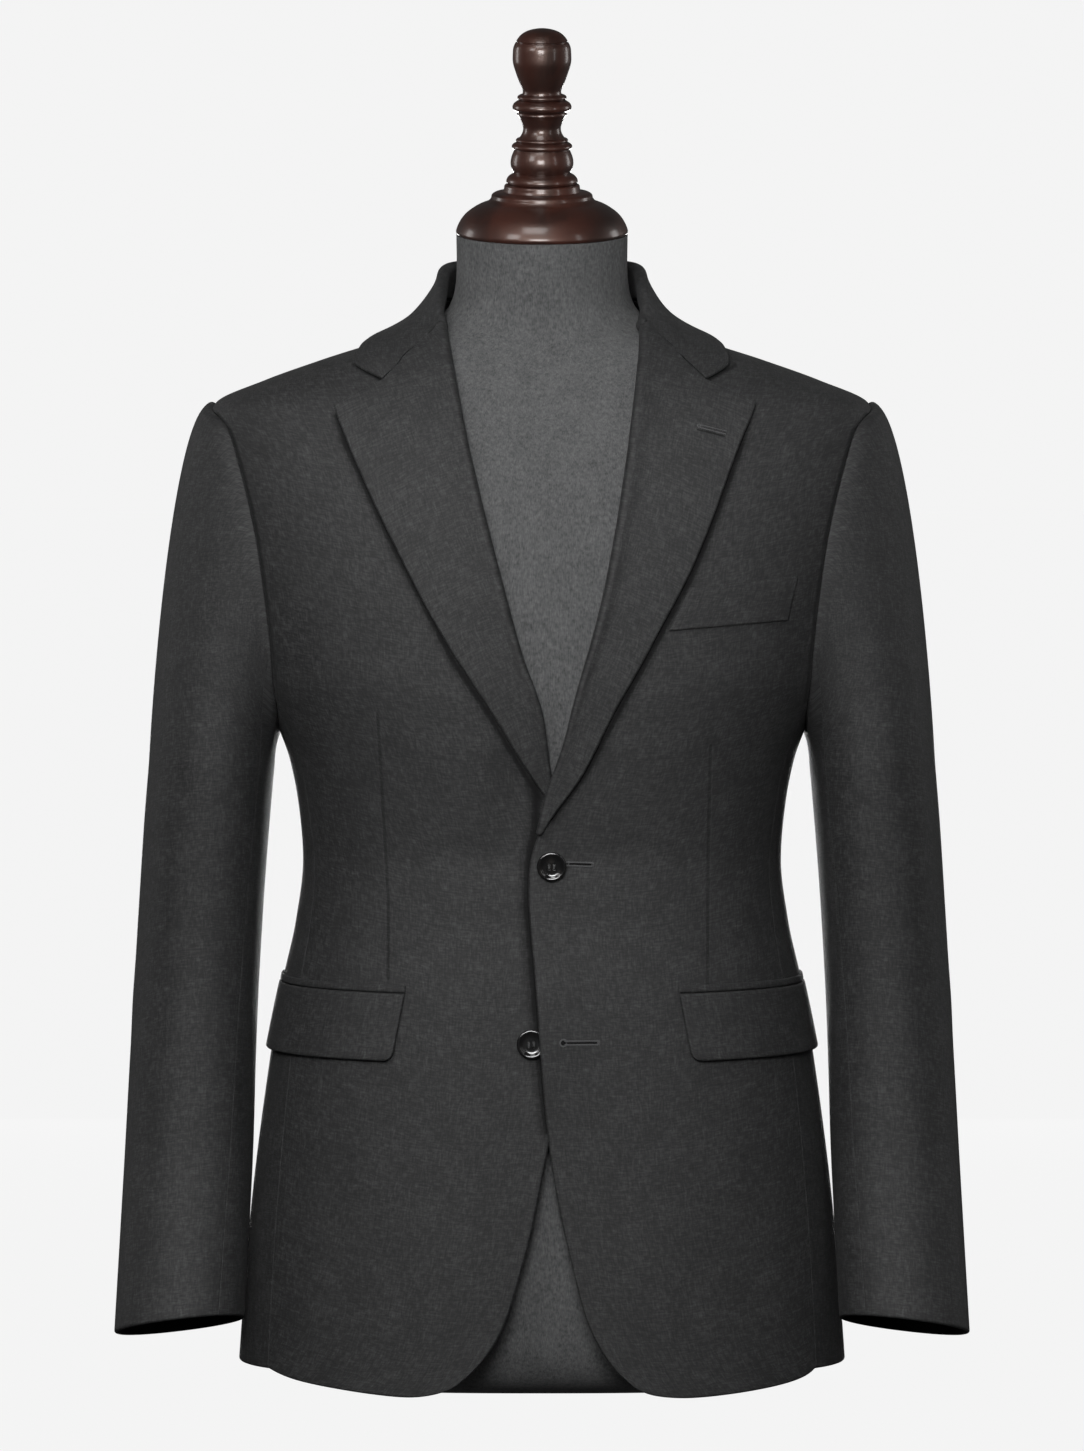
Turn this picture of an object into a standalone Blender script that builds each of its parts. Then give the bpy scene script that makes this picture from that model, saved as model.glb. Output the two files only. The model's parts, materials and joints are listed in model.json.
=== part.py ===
"""A two-button, notch-lapel suit jacket, buttoned on a limbless dress form.

Every cloth piece is a panel cut from one body surface: a stack of rounded
sections whose half width and depths change with height. A panel is the net
between its four seam lines on that surface, given the thickness of the cloth.
What lies on a panel, such as a lapel or a flap, is the same surface moved out.

Metres, +Z up, front towards -Y, the wearer's left towards +X, origin on the
floor below the middle of the form.
"""

import math

import bpy
import numpy as np
from mathutils import Matrix, Vector

# Driving dimensions, in metres
CLOTH = 0.0020
SLEEVE_CLOTH = 0.0017
LAPEL_CLOTH = 0.0022
COLLAR_CLOTH = 0.0022
STAND_CLOTH = 0.0018
WELT_CLOTH = 0.0016
LAYER_GAP = 0.0003
SEAM_GAP = 0.0005
UNDERLAP_DROP = 0.0027
CROSSING_DROP = 0.0040
SHANK = 0.0014
BUTTON_RADIUS = 0.0101
BUTTON_DEPTH = 0.0034
BUTTON_HOLE = 0.0011
BUTTON_HOLE_SPREAD = 0.0024
SECTION_POWER = 2.5
NECK_HALF_WIDTH = 0.0590
NECK_HALF_DEPTH = 0.0605
NECK_TILT = math.radians(7.0)
NECK_TOP = 0.8035
NECK_TOP_MIDDLE = -0.0015
MM = 0.001

# Body sections, in mm: height, half width, front depth, back depth
BODY = (
    (12, 208.5, 128, 124),
    (100, 202, 126, 120),
    (151, 197, 124, 116),
    (234, 186, 121, 108),
    (289, 177, 118, 101),
    (330, 168, 114.5, 97),
    (372, 163, 113, 96),
    (413, 166.5, 118, 101),
    (441, 171.5, 122, 106),
    (465, 180, 125, 110),
    (500, 196, 127.5, 117),
    (550, 210, 126.5, 123),
    (600, 219, 121, 123),
    (650, 226, 108, 115),
    (675, 228, 97, 107),
    (686, 223.5, 91, 102),
    (701.5, 190, 82, 95),
    (715.3, 151.5, 73, 88),
    (732.5, 100, 62, 80),
    (740, 85, 58, 77),
    (748, 75, 55, 74),
    (757, 68, 53, 72),
    (765, 66, 52, 71),
)

# Armhole seam from the shoulder down the front and up the back: angle in degrees, height in mm
ARMHOLE_FRONT = (
    (3, 686), (-7, 680), (-12.5, 669), (-15.5, 648), (-18.2, 622),
    (-20, 596), (-21.2, 550), (-19.6, 508), (-16, 484),
)
ARMHOLE_UNDER = ((-16, 484), (-9, 468), (0, 462), (11, 466), (18, 480), (23, 505))
ARMHOLE_BACK = ((23, 505), (25, 540), (24.5, 580), (22, 615), (19, 645), (14, 668), (9, 681), (3, 686))

# The shoulder seam lies this far behind the ridge, up to the neck point; the back hem's height
SHOULDER_ANGLE = math.radians(3)
NECK_POINT = 0.757
BACK_HEM = 0.029

# Upright seams: height in mm, angle in degrees
FRONT_SIDE_SEAM = ((27, -21), (230, -20), (372, -18), (484, -16))
SIDE_BACK_SEAM = ((28, 29), (230, 27), (372, 24), (505, 23))

# Front edge, roll and neck of each front, from the bottom corner up: out from the centre, height, in mm
LEFT_EDGE = (
    (63, 19), (55, 26), (49, 32), (41, 43), (30, 66), (22, 95), (15, 125), (8, 161), (3, 200), (-1, 245),
    (-5, 300), (-9, 350), (-9, 368), (-6.5, 384), (-2, 398),
    (3, 421), (10, 442), (17, 466), (21, 484), (32, 523),
    (42, 563), (50, 605), (57, 650), (62, 689), (65.5, 720), (67, 740), (67.5, 757),
)
RIGHT_EDGE = (
    (61, 19), (52, 25), (45, 32), (36, 43), (24, 66), (16, 92), (7, 126), (0, 161), (-6, 190), (-13, 225),
    (-19, 260), (-22, 310), (-22, 350), (-20, 378), (-15, 402),
    (-10, 420), (-6, 433), (-1.5, 472), (10, 509), (21, 546),
    (32, 588), (44, 636), (56, 692), (61, 719), (64, 735), (66.5, 745), (67.5, 757),
)
# Hem of each front from the bottom corner to the side seam: out from the centre, height, in mm
LEFT_HEM = ((63, 19), (70, 15.5), (80, 12.8), (97, 11.4), (122, 12.6), (148, 15.5), (176, 20.5), (191, 25))
RIGHT_HEM = ((61, 19), (68, 15.8), (76, 13.6), (90, 12), (110, 13), (137, 16), (169, 21.5), (190, 25.5))
# Where the rows of points lie on each upright seam, as shares of its length
ROWS = (0.0, 0.016, 0.036, 0.075, 0.15, 0.24, 0.34, 0.45, 0.56, 0.66, 0.75, 0.83, 0.91, 1.0)

# Lapels, from the roll at the gorge along the gorge seam, the notch, the tip and down: out, height, in mm
LEFT_GORGE = ((67, 738), (78, 731), (89, 722), (99, 712), (111, 702))
RIGHT_GORGE = ((65, 738), (78, 729), (90, 720), (100, 709), (108, 702))
LEFT_TIP = (145, 687)
RIGHT_TIP = (141, 685.5)
LEFT_LAPEL = (
    (145, 687), (143, 677), (135, 655), (128, 634), (116, 602), (104, 574), (86, 540), (68, 509), (50, 480),
    (28, 438), (9, 411), (-0.5, 396.5),
)
RIGHT_LAPEL = (
    (141, 685.5), (133, 664), (123, 641), (103, 599), (80, 554), (58, 516), (35, 481), (15, 447), (0, 424),
    (-13.5, 403),
)
# Collar, from its front corner round to the centre back: angle in degrees, height in mm
COLLAR_OUTER = ((-24.5, 710.5), (-19, 718), (-8, 725.5), (4, 729), (22, 733), (45, 735), (68, 734), (90, 733))
COLLAR_SEAM = ((-36, 739), (-20, 750), (4, 757), (30, 757), (60, 757), (90, 757))
# How far the collar's crease stands above its seam: angle in degrees, rise in mm
STAND_RISE = ((-36, 3), (-20, 9), (4, 19), (30, 25), (60, 28), (90, 29))

# Pockets, in mm out from the centre and up, or degrees where the name says so
FLAP_INNER_TOP = (92.5, 286.6)
FLAP_INNER_FOOT = (101, 240.5)
FLAP_END_ANGLE = 5.0
FLAP_END_TOP = 289.4
FLAP_END_FOOT = 243.4
JET_HEIGHT = 5.0
WELT_TOP = ((100, 563.8), (172.5, 571))
WELT_FOOT = ((85.6, 534.6), (165.5, 541))

# Sleeve below the arm, in mm: height, middle out, half width, middle back, half depth
SLEEVE = (
    (440, 227.8, 43.4, 0.5, 69),
    (399, 231.3, 43.3, 2, 66),
    (344, 235.2, 43, 3, 62),
    (289, 238.4, 43, 0, 58),
    (234, 241, 43.5, -7, 54),
    (178, 243.1, 44.2, -18, 50),
    (123, 245.6, 44.5, -34, 47.5),
    (52, 249, 44.8, -55, 45.5),
)
CUFF_FRONT_RISE = 0.19
CUFF_INNER_RISE = 0.117
SLEEVE_ROWS = 8
CAP_ROWS = 6

# Form, in mm: height, gap inside the jacket, greatest half width of the limbless shoulder
FORM = (
    (9, 34, 300), (30, 30, 300), (80, 22, 300), (140, 17, 300),
    (220, 13, 300), (300, 11.5, 300), (372, 10.5, 300),
    (430, 9, 250), (465, 7, 184), (500, 5.5, 178), (550, 4.5, 182),
    (600, 3.9, 190), (640, 4.0, 198), (666, 4.9, 198),
    (686, 5.4, 198), (698, 4.0, 222), (710, 3.4, 300), (722, 3.0, 300), (733, 2.6, 300),
)
# Neck rings, in mm: height, half width, half depth, middle back
NECK = ((742, 77, 63.5, 7), (750, 67, 61.5, 4.5), (760, 61.5, 60.5, 3.5), (775, 59, 60.5, 1.5))

# Turned cap and finial, in mm above the neck top: radius, height, top to bottom on the outside
CAP = (
    (0, 34.6), (24, 34.6), (25.6, 34), (26.2, 31.5), (26.8, 29.6),
    (32.4, 28.8), (34.6, 27.2), (35, 25.2), (36.6, 23.2),
    (41, 21.2), (48, 17.5), (53.5, 13), (57, 8), (58.9, 3.6), (59.2, 1.6), (58.4, 0), (0, 0),
)
FINIAL = (
    (0, 142.3), (8, 141), (13.8, 138.2), (17, 134.6), (19.4, 130),
    (20.1, 125), (20, 118.5), (18.5, 113), (16.6, 107.5),
    (14.3, 102), (13.2, 98), (13.6, 95.5), (16.2, 92.8), (17.2, 91),
    (20, 88.6), (20.2, 85.6), (17.4, 82.8), (16.2, 79.8),
    (13.6, 76), (13, 73.5), (13.6, 70), (16.2, 66), (18.8, 62.4),
    (20.6, 60.4), (19.3, 57.6), (20.6, 54.4), (21.6, 50.5),
    (21.3, 46.6), (19.9, 42.6), (22.6, 40), (24.4, 37), (24.6, 34.9), (0, 34.9),
)

CHARCOAL = (0.030, 0.031, 0.032, 1.0)
FORM_CLOTH = (0.085, 0.088, 0.090, 1.0)
TURNED_WOOD = (0.060, 0.016, 0.010, 1.0)
BUTTON_BLACK = (0.008, 0.008, 0.009, 1.0)


def rows_of(table, scale=MM):
    """The table as an array with every column in metres."""
    return np.array(table, float) * scale


def eased(at, known, values):
    """A monotone cubic through known points, held flat beyond both ends."""
    at = np.clip(np.asarray(at, float), known[0], known[-1])
    step = np.diff(known)
    slope = np.diff(values) / step
    tangent = np.zeros(len(known))
    for i in range(1, len(known) - 1):
        if slope[i - 1] * slope[i] > 0:
            first = 2 * step[i] + step[i - 1]
            second = step[i] + 2 * step[i - 1]
            tangent[i] = (first + second) / (first / slope[i - 1] + second / slope[i])
    tangent[0], tangent[-1] = slope[0], slope[-1]
    i = np.clip(np.searchsorted(known, at, side="right") - 1, 0, len(known) - 2)
    t = (at - known[i]) / step[i]
    return (
        values[i] * (1 + 2 * t) * (1 - t) ** 2
        + tangent[i] * step[i] * t * (1 - t) ** 2
        + values[i + 1] * t * t * (3 - 2 * t)
        + tangent[i + 1] * step[i] * t * t * (t - 1)
    )


def spline(points, shares):
    """Points at the given shares of the length of a smooth curve through the points."""
    points = np.asarray(points, float)
    scaled = points / np.maximum(np.ptp(points, axis=0), 1e-9)
    reach = np.concatenate([[0], np.cumsum(np.linalg.norm(np.diff(scaled, axis=0), axis=1))])
    count = len(points)
    step = np.diff(reach)
    system = np.eye(count)
    right = np.zeros_like(points)
    for i in range(1, count - 1):
        system[i, i - 1 : i + 2] = step[i - 1], 2 * (step[i - 1] + step[i]), step[i]
        right[i] = 6 * ((points[i + 1] - points[i]) / step[i] - (points[i] - points[i - 1]) / step[i - 1])
    bend = np.linalg.solve(system, right)
    at = np.asarray(shares, float) * reach[-1]
    i = np.clip(np.searchsorted(reach, at, side="right") - 1, 0, count - 2)
    a = ((reach[i + 1] - at) / step[i])[:, None]
    b = 1 - a
    width = step[i][:, None]
    return a * points[i] + b * points[i + 1] + ((a**3 - a) * bend[i] + (b**3 - b) * bend[i + 1]) * width**2 / 6


def even(count):
    return np.linspace(0.0, 1.0, count + 1)


def body_column(height, column):
    table = rows_of(BODY)
    return eased(height, table[:, 0], table[:, column])


def front_angle(out, height):
    """The angle of the point of the front that lies this far out from the centre line."""
    width = body_column(height, 1)
    share = np.clip(np.abs(out) / width, 0, 0.9999)
    depth = body_column(height, 2) * (1 - share**SECTION_POWER) ** (1 / SECTION_POWER)
    return np.arctan2(-depth, out)


def on_body(angle, height):
    """Points of the body surface, with the side at angle 0 and the front centre at -90 degrees."""
    angle, height = np.broadcast_arrays(np.asarray(angle, float), np.asarray(height, float))
    across, along = np.cos(angle), np.sin(angle)
    depth = np.where(along < 0, body_column(height, 2), body_column(height, 3))
    radius = (
        (np.abs(across) / body_column(height, 1)) ** SECTION_POWER + (np.abs(along) / depth) ** SECTION_POWER
    ) ** (-1 / SECTION_POWER)
    return np.stack([radius * across, radius * along, height], axis=-1)


def normal_of(angle, height):
    turn = on_body(angle + 0.004, height) - on_body(angle - 0.004, height)
    rise = on_body(angle, height + 0.0008) - on_body(angle, height - 0.0008)
    normal = np.cross(turn, rise)
    return normal / np.linalg.norm(normal, axis=-1, keepdims=True)


def off_body(angle, height, out):
    """Points of the body surface moved out along its normal."""
    return on_body(angle, height) + normal_of(angle, height) * np.asarray(out, float)[..., None]


def flat_points(table):
    """Points given as out and height, in mm, made into angle and height."""
    table = rows_of(table)
    return np.stack([front_angle(table[:, 0], table[:, 1]), table[:, 1]], axis=-1)


def turned_points(table, angle_first=True):
    """Points given as degrees and mm made into angle and height."""
    table = np.array(table, float)
    angle, height = (0, 1) if angle_first else (1, 0)
    return np.stack([np.radians(table[:, angle]), table[:, height] * MM], axis=-1)


def net(foot, top, inner, outer):
    """The grid between four edges that share their corners: rows go up, columns from inner to outer."""
    u = even(len(foot) - 1)[None, :, None]
    v = even(len(inner) - 1)[:, None, None]
    corners = (
        (1 - u) * (1 - v) * foot[0] + u * (1 - v) * foot[-1] + (1 - u) * v * top[0] + u * v * top[-1]
    )
    return (1 - v) * foot[None] + v * top[None] + (1 - u) * inner[:, None] + u * outer[:, None] - corners


def pulled_in(grid, by):
    """The grid with all four edges drawn in, so that its seams stay clear of the next piece."""
    for near, far in (((0,), (1,)), ((-1,), (-2,))):
        step = grid[far[0]] - grid[near[0]]
        grid[near[0]] += step / np.linalg.norm(step, axis=-1, keepdims=True) * by
    for near, far in ((0, 1), (-1, -2)):
        step = grid[:, far] - grid[:, near]
        grid[:, near] += step / np.linalg.norm(step, axis=-1, keepdims=True) * by
    return grid


def step_down(value, start, end):
    """1 at and below start, 0 at and above end, smooth between."""
    t = np.clip((end - value) / (end - start), 0, 1)
    return t * t * (3 - 2 * t)


def left_lift(out, height):
    """How far the left front stands off the body: it rides over the lower button."""
    return 0.0046 * np.exp(-(((out + 0.004) / 0.030) ** 2) - ((height - 0.253) / 0.045) ** 2)


def right_drop(out, height):
    """How far the right front lies inside the body surface, where the left front laps over it."""
    crossing = CROSSING_DROP * np.exp(-(((height - 0.418) / 0.036) ** 2))
    return -(UNDERLAP_DROP + crossing) * step_down(out, 0.014, 0.050)


def front_offset(side, angle, height):
    out = on_body(angle, height)[..., 0]
    return left_lift(out, height) if side > 0 else right_drop(out, height)


def make_material(name, colour, roughness, metallic=0.0):
    material = bpy.data.materials.new(name)
    material.use_nodes = True
    shader = material.node_tree.nodes["Principled BSDF"]
    shader.inputs["Base Color"].default_value = colour
    shader.inputs["Roughness"].default_value = roughness
    shader.inputs["Metallic"].default_value = metallic
    return material


class Maker:
    """Makes named objects in the part's collection, under one empty."""

    def __init__(self, title):
        self.parts = bpy.data.collections.new(title)
        self.cutters = bpy.data.collections.new("cutters")
        bpy.context.scene.collection.children.link(self.parts)
        bpy.context.scene.collection.children.link(self.cutters)
        self.root = bpy.data.objects.new("suit_on_form", None)
        self.root.location.z = -FORM[0][0] * MM
        self.parts.objects.link(self.root)

    def add(self, name, mesh, material, smooth=True):
        obj = bpy.data.objects.new(name, mesh)
        mesh.materials.append(material)
        if smooth:
            mesh.shade_smooth()
        self.parts.objects.link(obj)
        obj.parent = self.root
        return obj

    def sheet(self, name, grid, side, thickness, material, inward=False):
        """An open net of cloth, mirrored to its side, with Solidify's thickness on it."""
        rows, columns = grid.shape[:2]
        points = grid * np.array([side, 1, 1])
        corner = np.arange(rows * columns).reshape(rows, columns)
        faces = np.stack([corner[:-1, :-1], corner[:-1, 1:], corner[1:, 1:], corner[1:, :-1]], axis=-1)
        faces = faces.reshape(-1, 4)
        if side < 0:
            faces = faces[:, [0, 3, 2, 1]]
        mesh = bpy.data.meshes.new(name)
        mesh.from_pydata(points.reshape(-1, 3).tolist(), [], faces.tolist())
        obj = self.add(name, mesh, material)
        wall = obj.modifiers.new("cloth", "SOLIDIFY")
        wall.thickness = thickness
        wall.offset = -1.0 if inward else 1.0
        return obj

    def skin(self, name, rings, material):
        """A closed body through rings of points, with a flat face at each end."""
        count, around = len(rings), len(rings[0])
        corner = np.arange(count * around).reshape(count, around)
        after = np.roll(corner, -1, axis=1)
        sides = np.stack([corner[:-1], after[:-1], after[1:], corner[1:]], axis=-1).reshape(-1, 4).tolist()
        mesh = bpy.data.meshes.new(name)
        points = np.concatenate(rings).tolist()
        mesh.from_pydata(points, [], sides + [corner[0][::-1].tolist(), corner[-1].tolist()])
        obj = self.add(name, mesh, material)
        mesh.set_sharp_from_angle(angle=math.radians(40))
        return obj

    def turned(self, name, profile, material, steps):
        """A solid of revolution about its own Z from a profile of radius and height."""
        mesh = bpy.data.meshes.new(name)
        points = [(radius * MM, 0.0, height * MM) for radius, height in profile]
        mesh.from_pydata(points, [(i, i + 1) for i in range(len(points) - 1)], [])
        obj = self.add(name, mesh, material, smooth=False)
        screw = obj.modifiers.new("turning", "SCREW")
        screw.steps = steps
        screw.render_steps = steps
        screw.use_merge_vertices = True
        screw.merge_threshold = 0.00001
        return obj


def front_panel(maker, side, name, edge, hem, cloth):
    seam = spline(turned_points(FRONT_SIDE_SEAM, angle_first=False), ROWS)
    arm = spline(turned_points(ARMHOLE_FRONT), even(8))[::-1]
    outer = np.concatenate([seam, arm[1:]])
    line = flat_points(edge)
    line[-1] = SHOULDER_ANGLE, NECK_POINT
    dense = spline(line, even(400))
    # Each row starts at the same share of the height on the front edge as it ends at on the side
    share = (outer[:, 1] - outer[0, 1]) / (outer[-1, 1] - outer[0, 1])
    heights = dense[0, 1] + (dense[-1, 1] - dense[0, 1]) * share
    inner = np.stack([np.interp(heights, dense[:, 1], dense[:, 0]), heights], axis=-1)
    inner[0], inner[-1] = line[0], line[-1]
    columns = 8
    foot = spline(np.concatenate([flat_points(hem), outer[:1]]), even(columns) ** 1.25)
    foot[0], foot[-1] = inner[0], outer[0]
    shoulder = even(columns)[:, None]
    top = (1 - shoulder) * inner[-1] + shoulder * outer[-1]
    patch = net(foot, top, inner, outer)
    offset = front_offset(side, patch[..., 0], patch[..., 1])
    grid = pulled_in(off_body(patch[..., 0], patch[..., 1], offset), SEAM_GAP / 2)
    return maker.sheet(name, grid, side, CLOTH, cloth)


def side_panel(maker, side, name, cloth):
    inner = spline(turned_points(FRONT_SIDE_SEAM, angle_first=False), ROWS)
    outer = spline(turned_points(SIDE_BACK_SEAM, angle_first=False), ROWS)
    top = spline(turned_points(ARMHOLE_UNDER), even(5))
    share = even(5)[:, None]
    foot = (1 - share) * inner[0] + share * outer[0]
    patch = net(foot, top, inner, outer)
    grid = pulled_in(off_body(patch[..., 0], patch[..., 1], np.zeros(patch.shape[:2])), SEAM_GAP / 2)
    return maker.sheet(name, grid, side, CLOTH, cloth)


def back_panel(maker, side, name, cloth):
    seam = spline(turned_points(SIDE_BACK_SEAM, angle_first=False), ROWS)
    arm = spline(turned_points(ARMHOLE_BACK), even(7))
    inner = np.concatenate([seam, arm[1:]])
    share = (inner[:, 1] - inner[0, 1]) / (inner[-1, 1] - inner[0, 1])
    outer = np.stack([np.full(len(inner), math.pi / 2), BACK_HEM + (NECK_POINT - BACK_HEM) * share], axis=-1)
    neck_point = np.array([SHOULDER_ANGLE, NECK_POINT])
    shoulder = even(8)[:, None]
    seam_line = (1 - shoulder) * inner[-1] + shoulder * neck_point
    across = even(5)[1:, None]
    neck_line = (1 - across) * neck_point + across * outer[-1]
    top = np.concatenate([seam_line, neck_line])
    share = even(len(top) - 1)[:, None]
    foot = (1 - share) * inner[0] + share * outer[0]
    patch = net(foot, top, inner, outer)
    grid = pulled_in(off_body(patch[..., 0], patch[..., 1], np.zeros(patch.shape[:2])), SEAM_GAP / 2)
    return maker.sheet(name, grid, side, CLOTH, cloth)


def lapel(maker, side, name, edge, gorge, tip, outline, cloth):
    rows, columns = 15, 7
    roll = flat_points(edge)
    start = float(outline[-1][1]) * MM
    stop = float(gorge[0][1]) * MM
    dense = spline(roll, even(500))
    heights = start + (stop - start) * even(rows)
    inner = np.stack([np.interp(heights, dense[:, 1], dense[:, 0]), heights], axis=-1)
    outer = spline(flat_points(outline), even(rows))[::-1]
    near_gorge = spline(flat_points(gorge), even(4))
    notch = flat_points((gorge[-1], tip))
    near_notch = notch[0] + (notch[1] - notch[0]) * even(3)[1:, None]
    top = np.concatenate([near_gorge, near_notch])
    inner[-1], outer[-1] = top[0], top[-1]
    foot = inner[0] + (outer[0] - inner[0]) * even(columns)[:, None]
    patch = net(foot, top, inner, outer)
    base = front_offset(side, patch[..., 0], patch[..., 1]) + CLOTH + LAYER_GAP + 0.0010
    share = even(columns)[None, :]
    lift = 0.0022 * np.exp(-((share / 0.16) ** 2)) * (1 - step_down(patch[..., 1], 0.44, 0.52))
    grid = pulled_in(off_body(patch[..., 0], patch[..., 1], base + lift), SEAM_GAP / 2)
    return maker.sheet(name, grid, side, LAPEL_CLOTH, cloth)


def collar_half(gorge, shares):
    """One half of the fall of the collar: the net from its front end to the centre back."""
    seam = spline(turned_points(COLLAR_SEAM), shares)
    outer = spline(turned_points(COLLAR_OUTER), shares)
    first = spline(flat_points(gorge), even(4))
    corner = turned_points(COLLAR_OUTER)[0]
    front = np.concatenate([first, first[-1] + (corner - first[-1]) * even(2)[1:, None]])
    seam[0] = front[0]
    back = seam[-1] + (outer[-1] - seam[-1]) * even(len(front) - 1)[:, None]
    patch = net(seam, outer, front, back)
    table = np.array(STAND_RISE, float)
    rise = eased(np.degrees(patch[0, :, 0]), table[:, 0], table[:, 1] * MM)
    across = even(len(front) - 1)[:, None]
    points = off_body(patch[..., 0], patch[..., 1], np.full(patch.shape[:2], CLOTH + LAYER_GAP + 0.0020))
    lean = np.stack([-0.10 * np.cos(patch[0, :, 0]), -0.10 * np.sin(patch[0, :, 0]), np.ones(len(rise))], axis=-1)
    return points + (rise[None, :] * (1 - across) ** 1.5)[..., None] * lean[None]


def collar(maker, cloth):
    shares = even(9)
    left = collar_half(LEFT_GORGE, shares)
    right = collar_half(RIGHT_GORGE, shares) * np.array([-1, 1, 1])
    whole = np.concatenate([left, right[:, -2::-1]], axis=1)
    whole[:, len(shares) - 1, 0] = 0.0
    grid = pulled_in(whole, SEAM_GAP / 2)[::-1]
    return maker.sheet("collar", grid, 1, COLLAR_CLOTH, cloth)


def collar_stand(maker, cloth):
    """The strip that rises from the neck seam to the collar's crease, inside its fall."""
    shares = even(9)[2:]
    seam = spline(turned_points(COLLAR_SEAM), shares)
    table = np.array(STAND_RISE, float)
    rise = eased(np.degrees(seam[:, 0]), table[:, 0], table[:, 1] * MM)
    foot = on_body(seam[:, 0], seam[:, 1])
    inward = np.stack([-np.cos(seam[:, 0]), -np.sin(seam[:, 0]), np.zeros(len(seam))], axis=-1)
    strips = []
    for share in (0.0, 0.5, 1.0):
        lift = 0.0026 + (rise - 0.0026 - 0.0010) * share
        lean = inward * (0.0006 + 0.10 * rise * share)[:, None]
        strips.append(foot + lean + np.array([0, 0, 1]) * lift[:, None])
    half = np.stack(strips)
    other = half * np.array([-1, 1, 1])
    whole = np.concatenate([half, other[:, -2::-1]], axis=1)
    whole[:, len(shares) - 1, 0] = 0.0
    return maker.sheet("collar_stand", whole[::-1], 1, STAND_CLOTH, cloth, inward=True)


def arm_loop():
    """The armhole seam, all round from the shoulder down the front, and where its three panels meet it."""
    front = spline(turned_points(ARMHOLE_FRONT), even(8))
    under = spline(turned_points(ARMHOLE_UNDER), even(5))
    back = spline(turned_points(ARMHOLE_BACK), even(7))
    return np.concatenate([front, under[1:], back[1:]])


def sleeve_ring(height, turn):
    table = rows_of(SLEEVE)[::-1]
    middle, half, back, depth = (eased(height, table[:, 0], table[:, i]) for i in range(1, 5))
    power = 2.15
    radius = ((np.abs(np.cos(turn)) / half) ** power + (np.abs(np.sin(turn)) / depth) ** power) ** (-1 / power)
    return np.stack([middle + radius * np.cos(turn), back + radius * np.sin(turn), height], axis=-1)


def sleeve_grid():
    """The outside of the sleeve: rows from the cuff up to the armhole, columns as the armhole's points."""
    loop = arm_loop()
    seam = on_body(loop[:, 0], loop[:, 1])
    normal = normal_of(loop[:, 0], loop[:, 1])
    along = np.roll(seam, -1, axis=0) - np.roll(seam, 1, axis=0)
    along[0] = along[-1] = seam[1] - seam[-2]
    away = np.cross(along, normal)
    away /= np.linalg.norm(away, axis=-1, keepdims=True)
    away *= np.sign((away * (seam.mean(axis=0) - seam)).sum(axis=-1, keepdims=True))
    lowness = step_down(seam[:, 2], 0.470, 0.540)
    start = seam + normal * (CLOTH + (LAYER_GAP + 0.0005) * lowness)[:, None] + away * SEAM_GAP
    start[:, 0] += 0.0005
    # The turn of each column about the sleeve's middle: 0 outside, -90 front, 180 inside, 90 back
    reach = np.concatenate([[0], np.cumsum(np.linalg.norm(np.diff(seam, axis=0), axis=1))])
    reach /= reach[-1]
    lowest = reach[int(np.argmin(seam[:, 2]))]
    front_part = np.clip(reach / lowest, 0, 1)
    back_part = np.clip((reach - lowest) / (1 - lowest), 0, 1)
    turn = -math.pi * (front_part + back_part)
    join, cuff = SLEEVE[0][0] * MM, SLEEVE[-1][0] * MM
    ring = sleeve_ring(np.full(len(turn), join), turn)
    gap = np.linalg.norm(ring - start, axis=-1, keepdims=True)
    level = np.clip((seam[:, 2] - 0.462) / (0.686 - 0.462), 0, 1)[:, None]
    out = np.array([1.0, 0, 0]) * (0.10 + 0.90 * level**0.5) + np.array([0, 0, -1.0]) * (1 - level**0.6)
    out[:, 2] += 0.16 * level[:, 0] ** 6
    out /= np.linalg.norm(out, axis=-1, keepdims=True)
    first = start + out * gap * (0.12 + 0.02 * level)
    last = ring + np.array([0, 0, 1.0]) * gap * (0.30 + 0.30 * level)
    last[:, 0] -= 0.006 * level[:, 0]
    rows = []
    for t in np.linspace(0, 1, CAP_ROWS, endpoint=False):
        t = t**0.85
        rows.append((1 - t) ** 3 * start + 3 * t * (1 - t) ** 2 * first + 3 * t * t * (1 - t) * last + t**3 * ring)
    for height in np.linspace(join, cuff, SLEEVE_ROWS + 1):
        row = sleeve_ring(np.full(len(turn), height), turn)
        share = np.clip((0.16 - height) / (0.16 - cuff), 0, 1)
        middle = row.mean(axis=0)
        slope = CUFF_FRONT_RISE * (middle[1] - row[:, 1]) + CUFF_INNER_RISE * (middle[0] - row[:, 0])
        row[:, 2] += share * slope
        rows.append(row)
    grid = np.stack(rows[::-1])
    around = np.roll(grid[:, :-1], -1, axis=1) - np.roll(grid[:, :-1], 1, axis=1)
    along = np.gradient(grid[:, :-1], axis=0)
    normal = np.cross(along, around)
    normal /= np.linalg.norm(normal, axis=-1, keepdims=True)
    normal = np.concatenate([normal, normal[:, :1]], axis=1)
    return grid - normal * SLEEVE_CLOTH


def sleeves(maker, side, word, cloth):
    grid = sleeve_grid()
    # The armhole points where the fore-arm and the hind-arm seams start
    fore, hind = 7, 15
    under = pulled_in(grid[:, fore : hind + 1].copy(), SEAM_GAP / 2)
    upper = pulled_in(np.concatenate([grid[:, hind:], grid[:, 1 : fore + 1]], axis=1), SEAM_GAP / 2)
    maker.sheet("top_sleeve_" + word, upper[:, ::-1], side, SLEEVE_CLOTH, cloth)
    maker.sheet("under_sleeve_" + word, under[:, ::-1], side, SLEEVE_CLOTH, cloth)


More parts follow.
